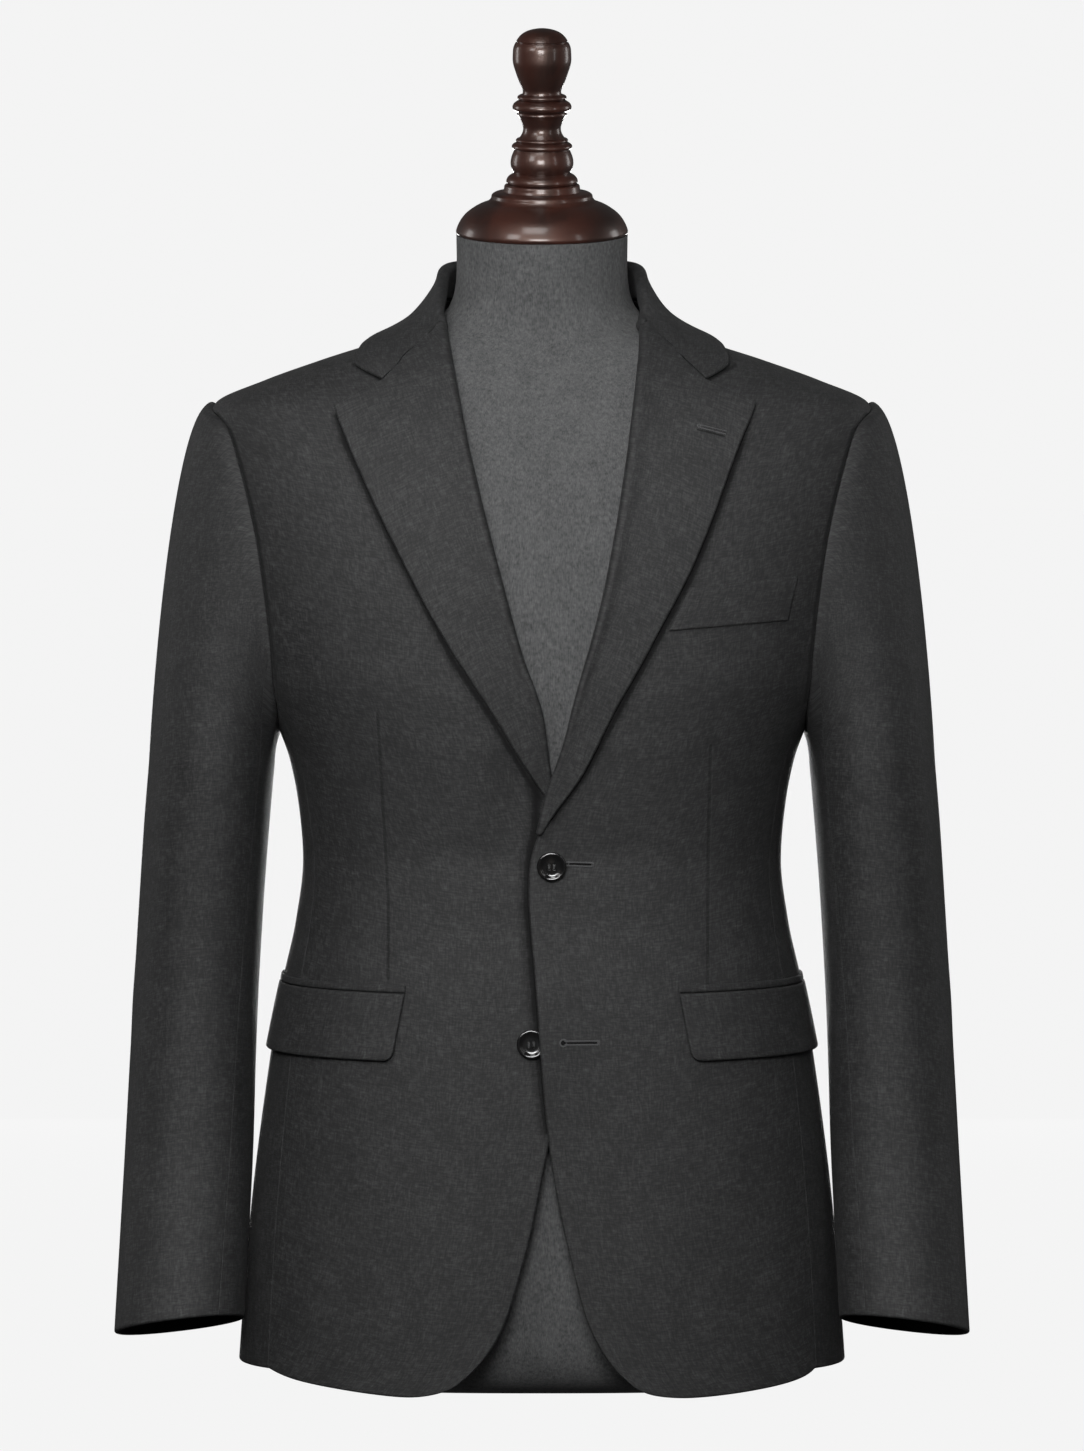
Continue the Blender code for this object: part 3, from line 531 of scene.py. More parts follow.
@dataclass
class ClothPiece:
    """A wall of cloth from a net of points and the way out at each."""

    name: str
    under: Grid
    facing: Grid
    thickness: float
    edges: tuple[Edge, Edge, Edge, Edge]
    side: int = 1

    def lengths(self) -> tuple[Grid, Grid]:
        """Each point's distance from the first column and from the first row."""
        across = np.linalg.norm(np.diff(self.under, axis=1), axis=-1)
        up = np.linalg.norm(np.diff(self.under, axis=0), axis=-1)
        return (
            np.concatenate([np.zeros((len(across), 1)), np.cumsum(across, axis=1)], axis=1),
            np.concatenate([np.zeros((1, up.shape[1])), np.cumsum(up, axis=0)], axis=0),
        )

    def over(self) -> Grid:
        """The outer side of the wall, which comes down to the inner one round a rounded edge."""
        across, up = self.lengths()
        first, last, low, high = self.edges
        share = np.minimum(first.profile(across), last.profile(across[:, -1:] - across))
        share = np.minimum(share, np.minimum(low.profile(up), high.profile(up[-1:] - up)))
        return self.under + self.facing * (self.thickness * share)[..., None]

    def area(self) -> float:
        """The area of one side of the cloth, in square metres."""
        first, second = np.diff(self.under, axis=1)[:-1], np.diff(self.under, axis=0)[:, :-1]
        return float(np.linalg.norm(np.cross(first, second), axis=-1).sum())

    def build(self, outside: bpy.types.Material, inside: bpy.types.Material) -> bpy.types.Object:
        """Makes the closed mesh, mirrored to its side, with the cloth's lengths as its UV map.

        Args:
            outside: the finish of the face side and the edges.
            inside: the finish of the inner side.

        Returns:
            The new object.
        """
        rows, columns = self.under.shape[:2]
        count = rows * columns
        corner = np.arange(count).reshape(rows, columns)
        quads = np.stack([corner[:-1, :-1], corner[:-1, 1:], corner[1:, 1:], corner[1:, :-1]], axis=-1)
        face_side = quads.reshape(-1, 4) + count
        inner_side = quads.reshape(-1, 4)[:, ::-1]
        border = np.concatenate([corner[0], corner[1:, -1], corner[-1, -2::-1], corner[-2:0:-1, 0]])
        after = np.roll(border, -1)
        rim = np.stack([border, after, after + count, border + count], axis=-1)
        faces = np.concatenate([face_side, rim, inner_side])
        if self.side < 0:
            faces = faces[:, ::-1]
        points = np.concatenate([self.under.reshape(-1, 3), self.over().reshape(-1, 3)])
        points = points * np.array([self.side, 1, 1])
        mesh = bpy.data.meshes.new(self.name)
        mesh.from_pydata(points.tolist(), [], faces.tolist())
        across, up = self.lengths()
        middle = across[:, columns // 2 : columns // 2 + 1]
        lengths = np.stack([across - middle, up], axis=-1).reshape(-1, 2)
        lengths = np.concatenate([lengths, lengths])
        layer = mesh.uv_layers.new(name="cloth")
        order = np.zeros(len(mesh.loops), np.int32)
        mesh.loops.foreach_get("vertex_index", order)
        layer.data.foreach_set("uv", lengths[order].astype(np.float32).ravel())
        mesh.materials.append(outside)
        mesh.materials.append(inside)
        slots = np.zeros(len(faces), np.int32)
        slots[len(face_side) + len(rim) :] = 1
        mesh.polygons.foreach_set("material_index", slots)
        mesh.shade_smooth()
        mesh.set_sharp_from_angle(angle=SHARP_CLOTH)
        mesh.update()
        return placed(self.name, mesh)


class Wire:
    """A socket of a node tree, on which Python's operators add Math nodes."""

    def __init__(self, bench: Bench, socket: bpy.types.NodeSocket) -> None:
        """Holds the socket and the bench that adds nodes."""
        self.bench = bench
        self.socket = socket

    def math(self, operation: str, *others: Wire | float) -> Wire:
        """A Math node with this wire first."""
        sockets = dict(enumerate((self, *others)))
        return self.bench.node("ShaderNodeMath", {"operation": operation}, sockets)

    def swapped(self, operation: str, other: float) -> Wire:
        """A Math node with this wire second."""
        return self.bench.node("ShaderNodeMath", {"operation": operation}, {0: other, 1: self})

    def __add__(self, other: Wire | float) -> Wire:
        """The sum."""
        return self.math("ADD", other)

    __radd__ = __add__

    def __mul__(self, other: Wire | float) -> Wire:
        """The product."""
        return self.math("MULTIPLY", other)

    def __sub__(self, other: Wire | float) -> Wire:
        """The difference."""
        return self.math("SUBTRACT", other)

    def __rsub__(self, other: float) -> Wire:
        """The difference from a number."""
        return self.swapped("SUBTRACT", other)

    def __pow__(self, other: float) -> Wire:
        """The power."""
        return self.math("POWER", other)

    def sine(self) -> Wire:
        """The sine."""
        return self.math("SINE")

    def within(self) -> Wire:
        """The value kept from 0 to 1."""
        return self.math("MAXIMUM", 0.0).math("MINIMUM", 1.0)


class Bench:
    """Adds nodes to one tree."""

    def __init__(self, tree: bpy.types.NodeTree) -> None:
        """Holds the tree."""
        self.tree = tree

    def node(
        self,
        kind: str,
        settings: dict[str, Any] | None = None,
        sockets: dict[int | str, Any] | None = None,
        out: int | str = 0,
    ) -> Wire:
        """Adds a node.

        Args:
            kind: the node's type.
            settings: its own settings, set first; stops are a ramp's places and colours.
            sockets: a value or a wire for each named or numbered input.
            out: the output that is returned.

        Returns:
            The wire from that output.
        """
        made = self.tree.nodes.new(kind)
        for name, value in (settings or {}).items():
            if name == "stops":
                elements = made.color_ramp.elements
                while len(elements) < len(value):
                    elements.new(1.0)
                for element, (place, colour) in zip(elements, value):
                    element.position = place
                    element.color = colour
            else:
                setattr(made, name, value)
        for key, value in (sockets or {}).items():
            self.feed(made.inputs[key], value)
        return Wire(self, made.outputs[out])

    def feed(self, socket: bpy.types.NodeSocket, value: Any) -> None:
        """Links a wire to an input, or sets the input's own value."""
        if isinstance(value, Wire):
            self.tree.links.new(value.socket, socket)
        else:
            socket.default_value = value

    def parts(self, vector: Wire) -> tuple[Wire, Wire, Wire]:
        """The three parts of a vector."""
        split = self.node("ShaderNodeSeparateXYZ", {}, {0: vector}).socket.node
        return tuple(Wire(self, socket) for socket in split.outputs)

    def object_place(self) -> tuple[Wire, Wire, Wire]:
        """The place in the object's frame: across, along and up."""
        return self.parts(self.node("ShaderNodeTexCoord", out="Object"))

    def cloth_place(self) -> tuple[Wire, Wire]:
        """The place in the cloth's own lengths: across and up."""
        return self.parts(self.node("ShaderNodeUVMap", {"uv_map": "cloth"}))[:2]

    def bump(self, strength: float, distance: float, height: Wire) -> Wire:
        """A way out of the surface, tilted by a height."""
        return self.node("ShaderNodeBump", {}, {"Strength": strength, "Distance": distance, "Height": height})

    def noise(self, x: Wire | float, y: Wire | float, z: Wire | float, detail: float = 2.0) -> Wire:
        """Smooth noise from about 0 to 1 at a place given in its own grains."""
        place = self.node("ShaderNodeCombineXYZ", {}, {0: x, 1: y, 2: z})
        return self.node("ShaderNodeTexNoise", {}, {"Vector": place, "Scale": 1.0, "Detail": detail})

    def blend(self, share: Wire, first: Any, second: Any) -> Wire:
        """Two colours mixed by a share."""
        return self.node("ShaderNodeMix", {"data_type": "RGBA"}, {0: share, 6: first, 7: second}, out=2)


class Paint(Bench):
    """The bench of one new finish, whose principled shader is filled in last."""

    def __init__(self, name: str) -> None:
        """Makes the finish."""
        self.material = bpy.data.materials.new(name)
        self.material.use_nodes = True
        super().__init__(self.material.node_tree)

    def finished(self, values: dict[str, Any]) -> bpy.types.Material:
        """Sets or links the shader's inputs by name and returns the finish."""
        for name, value in values.items():
            self.feed(self.tree.nodes["Principled BSDF"].inputs[name], value)
        return self.material


@dataclass(frozen=True)
class SewnLine:
    """A line sewn or cut into one front, or painted shade beside an edge that lies over it: places seen from
    the front, in metres, and its look.
    """

    places: tuple[tuple[float, float], ...]
    half_width: float
    depth: float
    darkness: float
    core: float = 1.6

    def mask(self, x: Wire, z: Wire) -> Wire:
        """1 on the line and 0 away from it.

        Args:
            x: the place across the object.
            z: the place up the object.

        Returns:
            The mask.
        """
        nearest: Wire | None = None
        for (x0, z0), (x1, z1) in zip(self.places, self.places[1:]):
            run, rise = x1 - x0, z1 - z0
            length = math.hypot(run, rise)
            share = ((x - x0) * (run / length**2) + (z - z0) * (rise / length**2)).within()
            aside = (x - x0 - share * run) ** 2.0
            away = (aside + (z - z0 - share * rise) ** 2.0) ** 0.5
            nearest = away if nearest is None else nearest.math("MINIMUM", away)
        return (self.core - nearest * (1.0 / self.half_width)).within()


@dataclass(frozen=True)
class MelangeWool:
    """A plain-weave suiting spun from dark and pale fibres."""

    dark: Colour = (0.0060, 0.0061, 0.0064, 1)
    middle: Colour = (0.0170, 0.0172, 0.0176, 1)
    pale: Colour = (0.0520, 0.0525, 0.0530, 1)
    # The dark of darts and cuts, and of the painted shade beside edges
    shade: Colour = (0.0015, 0.0015, 0.0016, 1)
    yarn: float = 0.00062
    contrast: float = 3.6
    roughness: float = 0.70
    relief: float = 0.00012

    def material(self, name: str, lines: tuple[SewnLine, ...] = ()) -> bpy.types.Material:
        """Builds the finish.

        Args:
            name: the material's name.
            lines: darts, slits and painted shades of the piece that wears it.

        Returns:
            The material.
        """
        paint = Paint(name)
        u, v = paint.cloth_place()
        warp = paint.noise(u * 900.0, v * 210.0, 0.0)
        weft = paint.noise(u * 210.0, v * 900.0, 7.0)
        long_slub = paint.noise(u * 380.0, v * 85.0, 3.0, 1.0)
        slub = long_slub * 0.5 + paint.noise(u * 85.0, v * 380.0, 5.0, 1.0) * 0.5
        fleck = paint.noise(u * 1900.0, v * 1900.0, 2.0, 1.0)
        cloud = paint.noise(u * 42.0, v * 42.0, 9.0, 3.0)
        tone = warp * 0.27 + weft * 0.27 + slub * 0.26 + fleck * 0.08 + cloud * 0.12
        tone = ((tone - 0.5) * self.contrast + 0.5).within()
        turn = 2 * math.pi / self.yarn
        weave = (u * turn).sine() * (v * turn).sine()
        height = weave * 0.35 + warp * 0.7 + weft * 0.7 + fleck * 0.3
        stops = ((0.0, self.dark), (0.45, self.middle), (1.0, self.pale))
        colour = paint.node("ShaderNodeValToRGB", {"stops": stops}, {0: tone})
        roughness: Wire | float = self.roughness
        if lines:
            x, _, z = paint.object_place()
            # Each line lowers the bump, darkens the colour towards the shade colour and roughens the cloth:
            # darts and cuts get their own dark, and the shade lines beside edges get painted shade
            for line in lines:
                mask = line.mask(x, z)
                height = height - mask * (line.depth / self.relief)
                colour = paint.blend(mask * line.darkness, colour, self.shade)
                roughness = (mask * (0.5 * line.darkness) + roughness).math("MINIMUM", 1.0)
        return paint.finished(
            {
                "Base Color": colour,
                "Roughness": roughness,
                "Specular IOR Level": 0.50,
                "Sheen Weight": 0.015,
                "Sheen Roughness": 0.5,
                "Normal": paint.bump(0.55, self.relief, height),
            }
        )


@dataclass(frozen=True)
class SatinLining:
    """The dark satin of the jacket's inside."""

    dark: Colour = (0.0060, 0.0062, 0.0068, 1)
    pale: Colour = (0.0110, 0.0112, 0.0120, 1)

    def material(self) -> bpy.types.Material:
        """Builds the finish."""
        paint = Paint("dark_satin")
        u, v = paint.cloth_place()
        streak = paint.noise(u * 2400.0, v * 110.0, 0.0)
        return paint.finished(
            {
                "Base Color": paint.blend(streak, self.dark, self.pale),
                "Roughness": 0.38 + streak * 0.12,
                "Specular IOR Level": 0.45,
                "Normal": paint.bump(0.25, 0.00008, streak),
            }
        )


@dataclass(frozen=True)
class HeatherJersey:
    """The close grey knit that covers the form."""

    dark: Colour = (0.040, 0.041, 0.042, 1)
    pale: Colour = (0.158, 0.159, 0.160, 1)

    def material(self) -> bpy.types.Material:
        """Builds the finish."""
        paint = Paint("heather_jersey")
        x, y, z = paint.object_place()
        rib = paint.noise(x * 1300.0, y * 1300.0, z * 260.0)
        fluff = paint.noise(x * 380.0, y * 380.0, z * 420.0, 3.0)
        cloud = paint.noise(x * 60.0, y * 60.0, z * 45.0, 2.0)
        tone = (((rib * 0.45 + fluff * 0.40 + cloud * 0.15) - 0.5) * 2.2 + 0.5).within()
        return paint.finished(
            {
                "Base Color": paint.blend(tone, self.dark, self.pale),
                "Roughness": 0.95,
                "Specular IOR Level": 0.15,
                "Sheen Weight": 0.05,
                "Sheen Roughness": 0.5,
                "Normal": paint.bump(0.6, 0.0002, rib + fluff),
            }
        )


@dataclass(frozen=True)
class LacqueredWood:
    """Dark red-brown turned hardwood under a deep gloss lacquer."""

    dark: Colour = (0.0045, 0.0013, 0.0010, 1)
    red: Colour = (0.0520, 0.0125, 0.0070, 1)
    tint: Colour = (1.0, 0.72, 0.62, 1)

    def material(self) -> bpy.types.Material:
        """Builds the finish."""
        paint = Paint("lacquered_wood")
        x, y, z = paint.object_place()
        figure = paint.noise(x * 45.0, y * 45.0, z * 9.0, 3.0)
        pores = paint.noise(x * 700.0, y * 700.0, z * 60.0, 2.0)
        rings = (x * 160.0 + figure * 9.0).sine() * 0.5 + 0.5
        tone = ((figure * 0.55 + rings * 0.25 + pores * 0.20 - 0.5) * 1.8 + 0.42).within()
        return paint.finished(
            {
                "Base Color": paint.blend(tone, self.dark, self.red),
                "Roughness": 0.40 + pores * 0.10,
                "Specular IOR Level": 0.9,
                "Specular Tint": self.tint,
                "Coat Weight": 0.75,
                "Coat Roughness": 0.17,
                "Coat IOR": 1.5,
                "Normal": paint.bump(0.12, 0.0001, pores),
            }
        )


@dataclass(frozen=True)
class PolishedHorn:
    """Near-black horn, polished, with faint brown clouds."""

    dark: Colour = (0.0040, 0.0040, 0.0042, 1)
    cloud: Colour = (0.0150, 0.0130, 0.0115, 1)

    def material(self) -> bpy.types.Material:
        """Builds the finish."""
        paint = Paint("polished_horn")
        x, y, z = paint.object_place()
        swirl = paint.noise(x * 260.0, y * 260.0, z * 90.0, 4.0)
        share = ((swirl - 0.5) * 3.0).within()
        return paint.finished(
            {
                "Base Color": paint.blend(share, self.dark, self.cloud),
                "Roughness": 0.13 + swirl * 0.08,
                "Specular IOR Level": 0.65,
                "Coat Weight": 0.6,
                "Coat Roughness": 0.06,
            }
        )


@dataclass(frozen=True)
class TwistedThread:
    """Silk buttonhole thread, a shade paler than the cloth."""

    dark: Colour = (0.030, 0.030, 0.031, 1)
    pale: Colour = (0.125, 0.126, 0.128, 1)

    def material(self) -> bpy.types.Material:
        """Builds the finish."""
        paint = Paint("twisted_thread")
        x, y, z = paint.object_place()
        ply = paint.noise(x * 5200.0, y * 5200.0, z * 5200.0, 1.0)
        return paint.finished(
            {
                "Base Color": paint.blend(ply, self.dark, self.pale),
                "Roughness": 0.55,
                "Specular IOR Level": 0.35,
                "Sheen Weight": 0.15,
                "Normal": paint.bump(0.4, 0.00005, ply),
            }
        )


@dataclass(frozen=True)
class PaleStudio:
    """The plain pale floor and backdrop, matt and even."""

    shade: Colour = (0.004, 0.004, 0.004, 1)
    darker: Colour = (0.003, 0.003, 0.003, 1)
    glow: float = 0.903

    def material(self) -> bpy.types.Material:
        """Builds the finish."""
        paint = Paint("pale_studio")
        x, y, _ = paint.object_place()
        return paint.finished(
            {
                "Base Color": paint.blend(paint.noise(x * 3.0, y * 3.0, 0.0, 2.0), self.shade, self.darker),
                "Roughness": 0.95,
                "Specular IOR Level": 0.0,
                "Emission Color": (1, 1, 1, 1),
                "Emission Strength": self.glow,
            }
        )


@dataclass
class Finishes:
    """Every finish of the object, made once."""

    def __post_init__(self) -> None:
        """Builds the materials."""
        wool = MelangeWool()
        self.wool = wool.material("charcoal_wool")
        self.left_front = wool.material("charcoal_wool_left_front", LEFT_FRONT_LINES)
        self.right_front = wool.material("charcoal_wool_right_front", RIGHT_FRONT_LINES)
        self.left_lapel = wool.material("charcoal_wool_left_lapel", LEFT_LAPEL_LINES)
        self.lining = SatinLining().material()
        self.jersey = HeatherJersey().material()
        self.wood = LacqueredWood().material()
        self.horn = PolishedHorn().material()
        self.thread = TwistedThread().material()


def seen(*places: tuple[float, float]) -> tuple[tuple[float, float], ...]:
    """Places given in mm across and above the pattern's floor line, made into metres in the frame."""
    return tuple((x * MM, z * MM - FOOT_RISE) for x, z in places)


def shaded(half_width: float, darkness: float, *places: tuple[float, float]) -> SewnLine:
    """Painted shade beside an edge that lies over it, where its shadow falls: half width in mm, darkness,
    places.
    """
    return SewnLine(seen(*places), half_width * MM, 0.0, darkness, core=1.0)


def armhole_shade(side: int) -> SewnLine:
    """The narrow painted shade along the seam where a front is sewn into the head of its sleeve."""
    seam = SURFACE.on(*angle_line(ARMHOLE_FRONT)[1:].T)
    return SewnLine(tuple((side * x, z) for x, _, z in seam.tolist()), 2.2 * MM, 0.0, 0.85, core=1.0)


def dart(*places: tuple[float, float]) -> SewnLine:
    """A dart or another seam sewn flat in the cloth."""
    return SewnLine(seen(*places), 0.0010, 0.0004, 0.35)


def slit(*places: tuple[float, float]) -> SewnLine:
    """The cut of a buttonhole."""
    return SewnLine(seen(*places), 0.00062, 0.0005, 0.97)


# Places seen from the front, in mm: the painted shades beside the lapels and the front edge, two buttonholes
RIGHT_LAPEL_SHADE = ((-139.5, 680), (-134, 662), (-104, 598), (-60, 514), (-36, 478), (-2, 421))
LEFT_LAPEL_SHADE = ((142.5, 686), (134, 655), (114.3, 602), (100.8, 570), (66.6, 507), (28, 435), (7, 407))
FRONT_EDGE_SHADE = ((-4, 432), (-4, 402), (-9, 376), (-9.5, 345), (-4, 282), (-0.5, 235), (4, 195))
UPPER_HOLE = ((17, 375.8), (34, 375.2))
LOWER_HOLE = ((14.5, 254), (38, 254))
LAPEL_HOLE = ((106, 671), (124, 666.5))

# Buttons: how far out from the centre and how high, in metres
UPPER_BUTTON = (0.0065, 0.3740)
LOWER_BUTTON = (0.0072, 0.2530)

# Lines of each piece: painted shades, darts and buttonhole cuts
LEFT_FRONT_LINES = (
    # Painted shadow of the left lapel on the front beside its edge: a wide soft band and a narrow dark line
    shaded(6.0, 0.45, *LEFT_LAPEL_SHADE),
    shaded(2.6, 0.85, *LEFT_LAPEL_SHADE),
    # Painted shade along the armhole seam
    armhole_shade(1),
    # Painted shadow of the collar's end on the front at the notch
    shaded(2.2, 0.90, (132, 714.2), (114.5, 705.0)),
    dart((115, 456), (113.5, 372), (113, 292)),
    slit(*UPPER_HOLE),
    slit((15, 254), (37.5, 254)),
    SewnLine(seen((14.4, 254), (14.6, 254)), 0.0015, 0.0006, 0.97),
)
RIGHT_FRONT_LINES = (
    # Painted shadow of the right lapel on the front beside its edge: a wide soft band and a narrow dark line
    shaded(6.0, 0.45, *RIGHT_LAPEL_SHADE),
    shaded(2.6, 0.85, *RIGHT_LAPEL_SHADE),
    # Painted shade along the armhole seam
    armhole_shade(-1),
    # Painted shadow of the collar's end on the front at the notch
    shaded(2.2, 0.90, (-129, 714.5), (-111, 705.2)),
    # Painted shadow of the left front's edge on the right front beside it: wide and soft, then narrow and
    # dark
    shaded(9.0, 0.50, *FRONT_EDGE_SHADE),
    shaded(3.6, 0.95, *FRONT_EDGE_SHADE),
    dart((-112, 478), (-105, 352), (-105, 297)),
)
LEFT_LAPEL_LINES = (SewnLine(seen(*LAPEL_HOLE), 0.0005, 0.0004, 0.55),)


def group_tree(
    name: str, inputs: tuple[tuple[str, str, Any], ...]
) -> tuple[Bench, dict[str, Wire], bpy.types.Node]:
    """A new Geometry Nodes tree.

    Args:
        name: the tree's name.
        inputs: the name, socket type and first value of each input after the geometry.

    Returns:
        The tree's bench, the wires of its inputs by name, and its output node.
    """
    tree = bpy.data.node_groups.new(name, "GeometryNodeTree")
    tree.interface.new_socket("Geometry", in_out="INPUT", socket_type="NodeSocketGeometry")
    for title, kind, value in inputs:
        socket = tree.interface.new_socket(title, in_out="INPUT", socket_type=kind)
        if value is not None:
            socket.default_value = value
    tree.interface.new_socket("Geometry", in_out="OUTPUT", socket_type="NodeSocketGeometry")
    bench = Bench(tree)
    source = tree.nodes.new("NodeGroupInput")
    wires = {socket.name: Wire(bench, socket) for socket in source.outputs if socket.name}
    return bench, wires, tree.nodes.new("NodeGroupOutput")


def grown(
    name: str, start: bpy.types.Mesh, tree: bpy.types.NodeTree, values: dict[str, Any]
) -> bpy.types.Object:
    """Runs a Geometry Nodes tree on a mesh and returns the result as a plain mesh object.

    Args:
        name: the new piece's name.
        start: the mesh that the tree works on.
        tree: the tree.
        values: its inputs by name.

    Returns:
        The finished object, with no modifier.
    """
    guide = placed(name + "_guide", start)
    modifier = guide.modifiers.new("grown", "NODES")
    modifier.node_group = tree
    for item in tree.interface.items_tree:
        if item.item_type == "SOCKET" and item.in_out == "INPUT" and item.name in values:
            modifier[item.identifier] = values[item.name]
    bpy.context.view_layer.update()
    mesh = bpy.data.meshes.new_from_object(guide.evaluated_get(bpy.context.evaluated_depsgraph_get()))
    bpy.data.objects.remove(guide)
    mesh.name = name
    return placed(name, mesh)


class Lathe:
    """Turns a profile about the upright axis with a Geometry Nodes tree."""

    def __init__(self) -> None:
        """Builds the tree."""
        inputs = (("Segments", "NodeSocketInt", 64), ("Finish", "NodeSocketMaterial", None))
        bench, wires, end = group_tree("turn_on_lathe", inputs)
        count = bench.node("GeometryNodeAttributeDomainSize", {"component": "MESH"}, {0: wires["Geometry"]})
        grid = bench.node(
            "GeometryNodeMeshGrid",
            {},
            {"Size X": 1.0, "Size Y": 1.0, "Vertices X": wires["Segments"] + 1.0, "Vertices Y": count},
        )
        across, along, _ = bench.parts(bench.node("GeometryNodeInputPosition"))
        row = ((along + 0.5) * (count - 1.0)).math("ROUND")
        profile = bench.node(
            "GeometryNodeSampleIndex",
            {"data_type": "FLOAT_VECTOR", "domain": "POINT"},
            {"Geometry": wires["Geometry"], "Value": bench.node("GeometryNodeInputPosition"), "Index": row},
        )
        radius, _, height = bench.parts(profile)
        turn = (across + 0.5) * (2 * math.pi)
        around = {0: radius * turn.math("COSINE"), 1: radius * turn.math("SINE"), 2: height}
        spun = bench.node("ShaderNodeCombineXYZ", {}, around)
        moved = bench.node("GeometryNodeSetPosition", {}, {"Geometry": grid, "Position": spun})
        closed = bench.node("GeometryNodeMergeByDistance", {}, {"Geometry": moved, "Distance": 0.000002})
        real = bench.node("GeometryNodeRealizeInstances", {}, {0: closed})
        dressed = bench.node("GeometryNodeSetMaterial", {}, {"Geometry": real, "Material": wires["Finish"]})
        bench.tree.links.new(dressed.socket, end.inputs[0])
        self.tree = bench.tree

    def turn(
        self, name: str, profile: Grid, segments: int, finish: bpy.types.Material, place: Matrix
    ) -> bpy.types.Object:
        """Turns one closed solid.

        Args:
            name: the piece's name.
            profile: radius and height of each point, from top to bottom on the outside, in metres.
            segments: how many steps go round.
            finish: its material.
            place: where it goes.

        Returns:
            The finished object.
        """
        mesh = bpy.data.meshes.new(name + "_profile")
        points = [(radius, 0.0, height) for radius, height in profile]
        mesh.from_pydata(points, [(i, i + 1) for i in range(len(points) - 1)], [])
        obj = grown(name, mesh, self.tree, {"Segments": segments, "Finish": finish})
        obj.data.transform(place)
        self.face_out(obj.data)
        obj.data.shade_smooth()
        obj.data.set_sharp_from_angle(angle=SHARP_TURNED)
        return obj

    @staticmethod
    def face_out(mesh: bpy.types.Mesh) -> None:
        """Turns the faces of a closed mesh outwards."""
        mesh.calc_loop_triangles()
        corners = np.array([v.co for v in mesh.vertices])
        faces = np.array([t.vertices for t in mesh.loop_triangles])
        if np.linalg.det(corners[faces]).sum() < 0:
            mesh.flip_normals()


class Needle:
    """Sews stitches along a path with a Geometry Nodes tree."""

    def __init__(self) -> None:
        """Builds the tree."""
        inputs = (
            ("Spacing", "NodeSocketFloat", 0.0005),
            ("Stitch length", "NodeSocketFloat", 0.0016),
            ("Thread radius", "NodeSocketFloat", 0.0002),
            ("Slant", "NodeSocketFloat", 0.1),
            ("Seed", "NodeSocketInt", 3),
            ("Thread", "NodeSocketMaterial", None),
        )
        bench, wires, end = group_tree("sew_along_path", inputs)
        path = bench.node("GeometryNodeMeshToCurve", {}, {0: wires["Geometry"]})
        marks = bench.node(
            "GeometryNodeResampleCurve", {"mode": "LENGTH"}, {"Curve": path, "Length": wires["Spacing"]}
        )
        way = bench.node("GeometryNodeInputTangent")
        up = bench.node("GeometryNodeInputNamedAttribute", {"data_type": "FLOAT_VECTOR"}, {"Name": "up"})
        across = bench.node("ShaderNodeVectorMath", {"operation": "CROSS_PRODUCT"}, {0: up, 1: way})
        lean = bench.node("ShaderNodeVectorMath", {"operation": "SCALE"}, {0: way, "Scale": wires["Slant"]})
        across = bench.node("ShaderNodeVectorMath", {"operation": "ADD"}, {0: across, 1: lean})
        turned = bench.node("FunctionNodeAlignRotationToVector", {"axis": "X"}, {"Vector": across})
        turned = bench.node(
            "FunctionNodeAlignRotationToVector",
            {"axis": "Z", "pivot_axis": "X"},
            {"Rotation": turned, "Vector": up},
        )
        strand = bench.node("GeometryNodeMeshUVSphere", {}, {"Segments": 6, "Rings": 5, "Radius": 1.0})
        spread = {2: 0.86, 3: 1.10, "Seed": wires["Seed"]}
        uneven = bench.node("FunctionNodeRandomValue", {"data_type": "FLOAT"}, spread, out=1)
        size = bench.node(
            "ShaderNodeCombineXYZ",
            {},
            {0: wires["Stitch length"] * uneven * 0.5, 1: wires["Thread radius"], 2: wires["Thread radius"]},
        )
        sewn = bench.node(
            "GeometryNodeInstanceOnPoints",
            {},
            {"Points": marks, "Instance": strand, "Rotation": turned, "Scale": size},
        )
        real = bench.node("GeometryNodeRealizeInstances", {}, {0: sewn})
        dressed = bench.node("GeometryNodeSetMaterial", {}, {"Geometry": real, "Material": wires["Thread"]})
        bench.tree.links.new(dressed.socket, end.inputs[0])
        self.tree = bench.tree

    def sew(self, name: str, paths: list[tuple[Grid, Grid]], values: dict[str, Any]) -> bpy.types.Object:
        """Sews along one or more paths.

        Args:
            name: the piece's name.
            paths: for each path its points and the way out of the cloth at each.
            values: the tree's inputs by name.

        Returns:
            The finished stitches.
        """
        mesh = bpy.data.meshes.new(name + "_path")
        points = np.concatenate([line for line, _ in paths])
        links, start = [], 0
        for line, _ in paths:
            links += [(start + i, start + i + 1) for i in range(len(line) - 1)]
            start += len(line)
        mesh.from_pydata(points.tolist(), links, [])
        attribute = mesh.attributes.new("up", "FLOAT_VECTOR", "POINT")
        ups = np.concatenate([way for _, way in paths])
        attribute.data.foreach_set("vector", ups.astype(np.float32).ravel())
        obj = grown(name, mesh, self.tree, values)
        obj.data.shade_smooth()
        return obj


